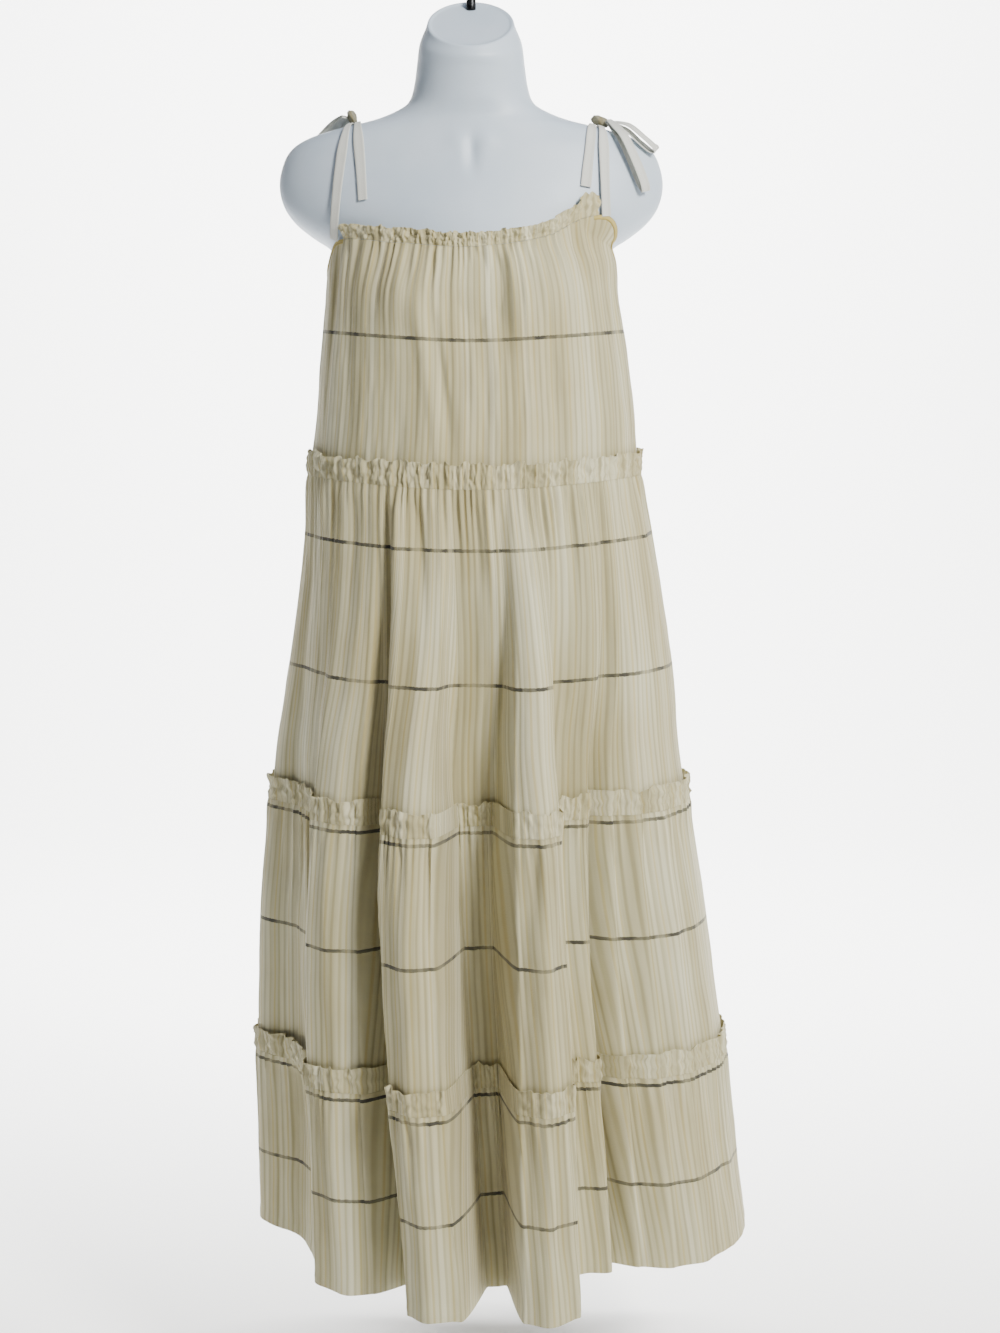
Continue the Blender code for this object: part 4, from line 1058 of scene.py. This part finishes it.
def ribbon(name, route, across, widths, thickness, material):
    """A tie of folded cloth along a route: rounded edges, a soft dent down the middle of each face."""
    sides = 18
    turn = np.linspace(0, 2 * math.pi, sides, endpoint=False)
    flat = np.sign(np.cos(turn)) * np.abs(np.cos(turn)) ** 0.75
    tall = np.sign(np.sin(turn)) * np.abs(np.sin(turn)) ** 0.75 * (1 - 0.30 * (1 - np.abs(np.cos(turn))) ** 2)
    ahead = np.gradient(route, axis=0)
    ahead /= np.linalg.norm(ahead, axis=1, keepdims=True)
    side = across - ahead * np.sum(across * ahead, axis=1, keepdims=True)
    side /= np.linalg.norm(side, axis=1, keepdims=True)
    face = np.cross(ahead, side)
    rings = (
        route[:, None] + side[:, None] * (widths[:, None, None] / 2 * flat[None, :, None])
        + face[:, None] * (thickness / 2 * tall[None, :, None])
    )
    count = len(route)
    bpy.ops.object.select_all(action="DESELECT")
    bpy.ops.mesh.primitive_cylinder_add(vertices=sides, depth=1.0, end_fill_type="NGON")
    piece = bpy.context.object
    piece.name = name
    mesh = piece.data
    vertices = rings.reshape(-1, 3)
    faces = []
    for i in range(count - 1):
        for j in range(sides):
            nxt = (j + 1) % sides
            faces.append((i * sides + j, i * sides + nxt, (i + 1) * sides + nxt, (i + 1) * sides + j))
    faces.append(tuple(range(sides))[::-1])
    faces.append(tuple((count - 1) * sides + j for j in range(sides)))
    mesh.clear_geometry()
    mesh.from_pydata(vertices.tolist(), [], faces)
    layer = mesh.uv_layers.new(name="cloth")
    lengths = np.concatenate(([0.0], np.cumsum(np.linalg.norm(np.diff(route, axis=0), axis=1))))
    place = np.stack((
        np.broadcast_to(flat[None, :] * TIE_WIDTH / 2, (count, sides)),
        np.broadcast_to(lengths[:, None], (count, sides)),
    ), -1).reshape(-1, 2)
    index = np.empty(len(mesh.loops), dtype=np.int32)
    mesh.loops.foreach_get("vertex_index", index)
    layer.data.foreach_set("uv", place[index].reshape(-1))
    bpy.ops.object.mode_set(mode="EDIT")
    bpy.ops.mesh.select_all(action="SELECT")
    bpy.ops.mesh.normals_make_consistent(inside=False)
    bpy.ops.object.mode_set(mode="OBJECT")
    bpy.ops.object.shade_smooth_by_angle(angle=math.radians(50))
    finish(piece, material)
    return piece


def build_strip(strip, material):
    """A strap or a tie end: it starts narrow under the knot and lies down the shoulder."""
    shares = np.linspace(0.0, 1.0, 44)
    route, across, widths = [], [], []
    for share in shares:
        x = strip.knot_x + (strip.foot_x - strip.knot_x) * share
        x += TIE_WANDER * math.sin(5 * share + strip.foot_x * 90)
        off = TIE_OFF_SKIN + (strip.foot_off - TIE_OFF_SKIN) * share
        point, side_way = off_shoulder(x, share, strip.foot_down, strip.side, off)
        if share == 0.0:
            point.y += strip.side * 2 * SEAM_GAP
        route.append(list(point))
        across.append(list(side_way))
        uneven = 1 + 0.06 * math.sin(9 * share + strip.foot_x * 200)
        widths.append(TIE_WIDTH * min(TIE_AT_KNOT + share, 1.0) * uneven)
    return ribbon(
        f"{strip.name}_cotton", np.array(route), np.array(across), np.array(widths), TIE_THICK, material,
    )


def knot_centre(knot):
    """The middle of a knot, on the straps where they meet on top of the shoulder."""
    rest = TIE_OFF_SKIN + TIE_THICK / 2 + SEAM_GAP
    return off_shoulder(knot.x, 0.0, 0.2, -1, rest + knot.tall)[0]


def knot_turn(knot):
    """The knot lies along the slope of the shoulder."""
    drop = shoulder_top(knot.x + 0.01) - shoulder_top(knot.x - 0.01)
    return Matrix.Rotation(math.atan2(drop, 0.02), 3, "Y")


def build_knot(knot, material):
    """The knot: a firm core with one strip wrapped round it, pulled tight, the way a tie is knotted."""
    bpy.ops.object.select_all(action="DESELECT")
    bpy.ops.mesh.primitive_uv_sphere_add(segments=56, ring_count=36, radius=1.0)
    piece = bpy.context.object
    piece.name = f"knot_{knot.side}_cotton"
    mesh = piece.data
    co = np.empty(len(mesh.vertices) * 3, dtype=np.float32)
    mesh.vertices.foreach_get("co", co)
    co = co.reshape(-1, 3).astype(float)
    along = co[:, 0] * math.cos(KNOT_LEAN) + co[:, 2] * math.sin(KNOT_LEAN)
    round_it = np.arctan2(co[:, 1], -co[:, 0] * math.sin(KNOT_LEAN) + co[:, 2] * math.cos(KNOT_LEAN))
    band = np.exp(-(along / KNOT_BAND) ** 4)
    wraps = 0.5 + 0.5 * np.cos(along * KNOT_WRAPS + 1.3 * np.sin(round_it))
    pleats = 0.5 + 0.5 * np.cos(round_it * KNOT_PLEATS + along * 4.0)
    size = 0.86 + 0.14 * band - 0.05 * band * wraps ** 3 - 0.07 * (1 - band) * pleats
    co *= size[:, None] * np.array((knot.across, knot.deep, knot.tall))
    middle = knot_centre(knot) - Vector((0.0, 0.0, KNOT_SINKS))
    turned = np.array([list(knot_turn(knot) @ Vector(c)) for c in co]) + np.array(middle)
    mesh.vertices.foreach_set("co", turned.astype(np.float32).reshape(-1))
    layer = mesh.uv_layers.active
    layer.name = "cloth"
    uv = np.empty(len(mesh.loops) * 2, dtype=np.float32)
    layer.data.foreach_get("uv", uv)
    layer.data.foreach_set("uv", uv * KNOT_CLOTH)
    mesh.update()
    bpy.ops.object.shade_smooth_by_angle(angle=math.radians(60))
    finish(piece, material)
    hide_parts(f"knot_{knot.side}")
    return piece


def build_loop(loop, material):
    """A bow loop: the strip goes out from the knot over the arm cap, turns at its far end and comes back."""
    knot = next(k for k in KNOTS if k.side == loop.side)
    outward = math.copysign(1.0, knot.x)
    start = knot_centre(knot) + knot_turn(knot) @ Vector((
        outward * loop.out_way * (knot.across + LOOP_OFF_KNOT),
        loop.face * loop.face_way * (knot.deep + LOOP_OFF_KNOT),
        0.0,
    ))

    def on_arm(out, off):
        x = start.x + (loop.far_x - start.x) * out
        return off_shoulder(x, loop.lies_from + (1 - loop.lies_from) * out, loop.far_down, loop.face, off)[0]

    way = (on_arm(1.0, 0.0) - start).normalized()
    away = (on_arm(0.6, 0.01) - on_arm(0.6, 0.0)).normalized()
    away = (away - way * away.dot(way)).normalized()
    points, widths = [], []
    for out, off, at_knot in LOOP_LINE:
        points.append(start + away * at_knot if at_knot else on_arm(out, off))
        widths.append(TIE_WIDTH * min(TIE_AT_KNOT + out * LOOP_WIDENS, 1.0))
    route = smooth_route(points, 72)
    at = np.linspace(0, 1, len(widths))
    wide = np.interp(np.linspace(0, 1, len(route)), at, widths)
    across = np.broadcast_to(np.array(away.cross(way)), route.shape)
    return ribbon(f"loop_{loop.side}_{loop.number}_cotton", route, across, wide, TIE_THICK, material)


def build_binding(side, first, last, material):
    """The bias binding round an armhole, folded over the cloth's edge."""
    angles = np.radians(np.linspace(first, last, 90))
    down = top_of_dress(angles)
    upper = cloth_point(angles, down + BINDING_EDGE, 0.0, -COTTON / 2)
    lower = cloth_point(angles, down + BINDING_EDGE + BINDING_ACROSS, 0.0, -COTTON / 2)
    across = lower - upper
    across /= np.linalg.norm(across, axis=1, keepdims=True)
    route = upper + across * BINDING_MIDDLE
    widths = np.full(len(route), BINDING_WIDTH)
    return ribbon(f"armhole_binding_{side}", route, across, widths, BINDING_THICK, material)


main_cotton = striped_cotton("yarn-dyed striped cotton, cream", "#f0f0e2", True)
# The ties are pale bluish white, and are painted paler still against the shade they lie in on the shoulders.
tie_cotton_painted_paler = striped_cotton("yarn-dyed striped cotton, ties, painted paler", "#e4ebf4", False, painted_light_share=0.45)
# The knots' copy of the tie cloth is tinted darker grey: painted shade for the dense shadow in the knots'
# folds.
knot_cotton_painted_shade = striped_cotton("yarn-dyed striped cotton, knots, painted shade", "#b9bcbf", False)
binding_cotton = striped_cotton("bias binding, straw yellow", "#efe2a4", False)
polythene = moulded_polythene()
black_wire = plated_wire()

# The armhole bindings, then each half's tiers and frills. 1 to 3 are the frills at the seams.
bindings = [
    build_binding(side, first, last, binding_cotton)
    for side, first, last in (("left", -122, -67), ("right", 64, 122))
]
for side, first, last in (("front", -90, 90), ("back", 90, 270)):
    fine = np.radians(np.linspace(first, last, PANEL_COLUMNS))
    bodice = build_first_tier(side, fine, main_cotton)
    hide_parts(f"tier_1_{side}")
    for number, name in ((2, "second_tier"), (3, "third_tier"), (4, "fourth_tier")):
        tier = build_lower_tier(number, name, side, fine, main_cotton)
        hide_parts(f"tier_{number}_{side}")
        frill = build_frill(
            f"frill_{number - 1}_{side}", number, np.radians(np.linspace(first, last, FRILL_COLUMNS)),
            lambda angle, seam=SEAM_DOWN[number - 2]: np.full(angle.shape, seam),
            FRILL_HEIGHT, FRILL_FLARE, FRILL_WAVE, TIER_STEP[number], main_cotton,
        )
        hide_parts(f"seam_frill_{number - 1}_{side}")
    neck_first, neck_last = FRONT_NECK if side == "front" else BACK_NECK
    neck_angles = np.radians(np.linspace(neck_first, neck_last, NECK_COLUMNS))
    neck = build_frill(
        f"neck_heading_{side}", 1, neck_angles, top_of_dress, NECK_FRILL_HEIGHT,
        NECK_FRILL_FLARE, NECK_FRILL_WAVE, 0.0, main_cotton,
    )
    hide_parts(f"neck_frill_{side}")

form = build_form(polythene)
build_hook(black_wire)
knots = {f"strap_{knot.side}_front": build_knot(knot, knot_cotton_painted_shade) for knot in KNOTS}
for strip in STRIPS:
    piece = build_strip(strip, tie_cotton_painted_paler)
    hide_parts(strip.name)
for loop in LOOPS:
    piece = build_loop(loop, tie_cotton_painted_paler)
    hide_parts(f"loop_{loop.side}_{loop.number}")


def area_light(name, place, aim, size, power, colour):
    """A soft box at a place, turned to what it lights."""
    lamp = bpy.data.lights.new(name, "AREA")
    lamp.shape = "RECTANGLE"
    lamp.size, lamp.size_y = size
    lamp.energy = power
    lamp.color = srgb(colour)[:3]
    box = bpy.data.objects.new(name, lamp)
    box.location = place
    box.rotation_euler = (Vector(aim) - Vector(place)).to_track_quat("-Z", "Y").to_euler()
    bpy.context.scene.collection.objects.link(box)


def build_backdrop(material):
    """White paper: a level floor that rises behind in one wide bend."""
    floor_z, size, front, back, bend = -1.62, 14.0, 6.0, 3.2, 1.6
    straight = front + back
    curved = bend * math.pi / 2
    bpy.ops.object.select_all(action="DESELECT")
    bpy.ops.mesh.primitive_grid_add(x_subdivisions=2, y_subdivisions=60, size=1.0)
    sheet = bpy.context.object
    sheet.name = "background_paper"
    for vertex in sheet.data.vertices:
        along = (vertex.co.y + 0.5) * size
        if along < straight:
            y, z = along - front, 0.0
        elif along < straight + curved:
            turn = (along - straight) / bend
            y, z = back + bend * math.sin(turn), bend * (1 - math.cos(turn))
        else:
            y, z = back + bend, bend + along - straight - curved
        vertex.co = (vertex.co.x * size, y, floor_z + z)
    bpy.ops.object.shade_smooth()
    sheet.data.materials.append(material)


build_backdrop(studio_paper())
# Each light's name and place, what it is turned to, its size, its power and its colour
area_light("key, from the right", (1.5, -2.1, 0.95), (0, 0, -0.50), (0.6, 0.9), 150, "#fffdf6")
area_light("side, from the right", (1.7, -0.6, 0.30), (0, 0, -0.30), (0.7, 0.9), 5, "#fffefa")
area_light("fill, from the left", (-2.4, -2.0, -0.2), (0, 0, -0.8), (1.6, 1.6), 2.5, "#eef3ff")
area_light("top", (0.5, -0.3, 1.7), (0, 0, -0.5), (1.2, 0.9), 16, "#e6eeff")
area_light("backdrop wash", (0.0, 0.9, 1.7), (0, 4.5, 0.0), (4.0, 1.2), 1250, "#ffffff")

world = bpy.data.worlds.new("studio air")
world.use_nodes = True
world.node_tree.nodes["Background"].inputs[0].default_value = srgb("#f6f8fb")
world.node_tree.nodes["Background"].inputs[1].default_value = 0.13
bpy.context.scene.world = world

# The camera, matched to the photo's view
camera = bpy.data.cameras.new("camera")
camera.lens = 57.25
camera.sensor_width = 36.0
eye = bpy.data.objects.new("camera", camera)
eye.location = (0.0312, -2.35, -0.529)
eye.rotation_euler = (math.radians(90 - 6.5), 0.0, 0.0)
bpy.context.scene.collection.objects.link(eye)
bpy.context.scene.camera = eye
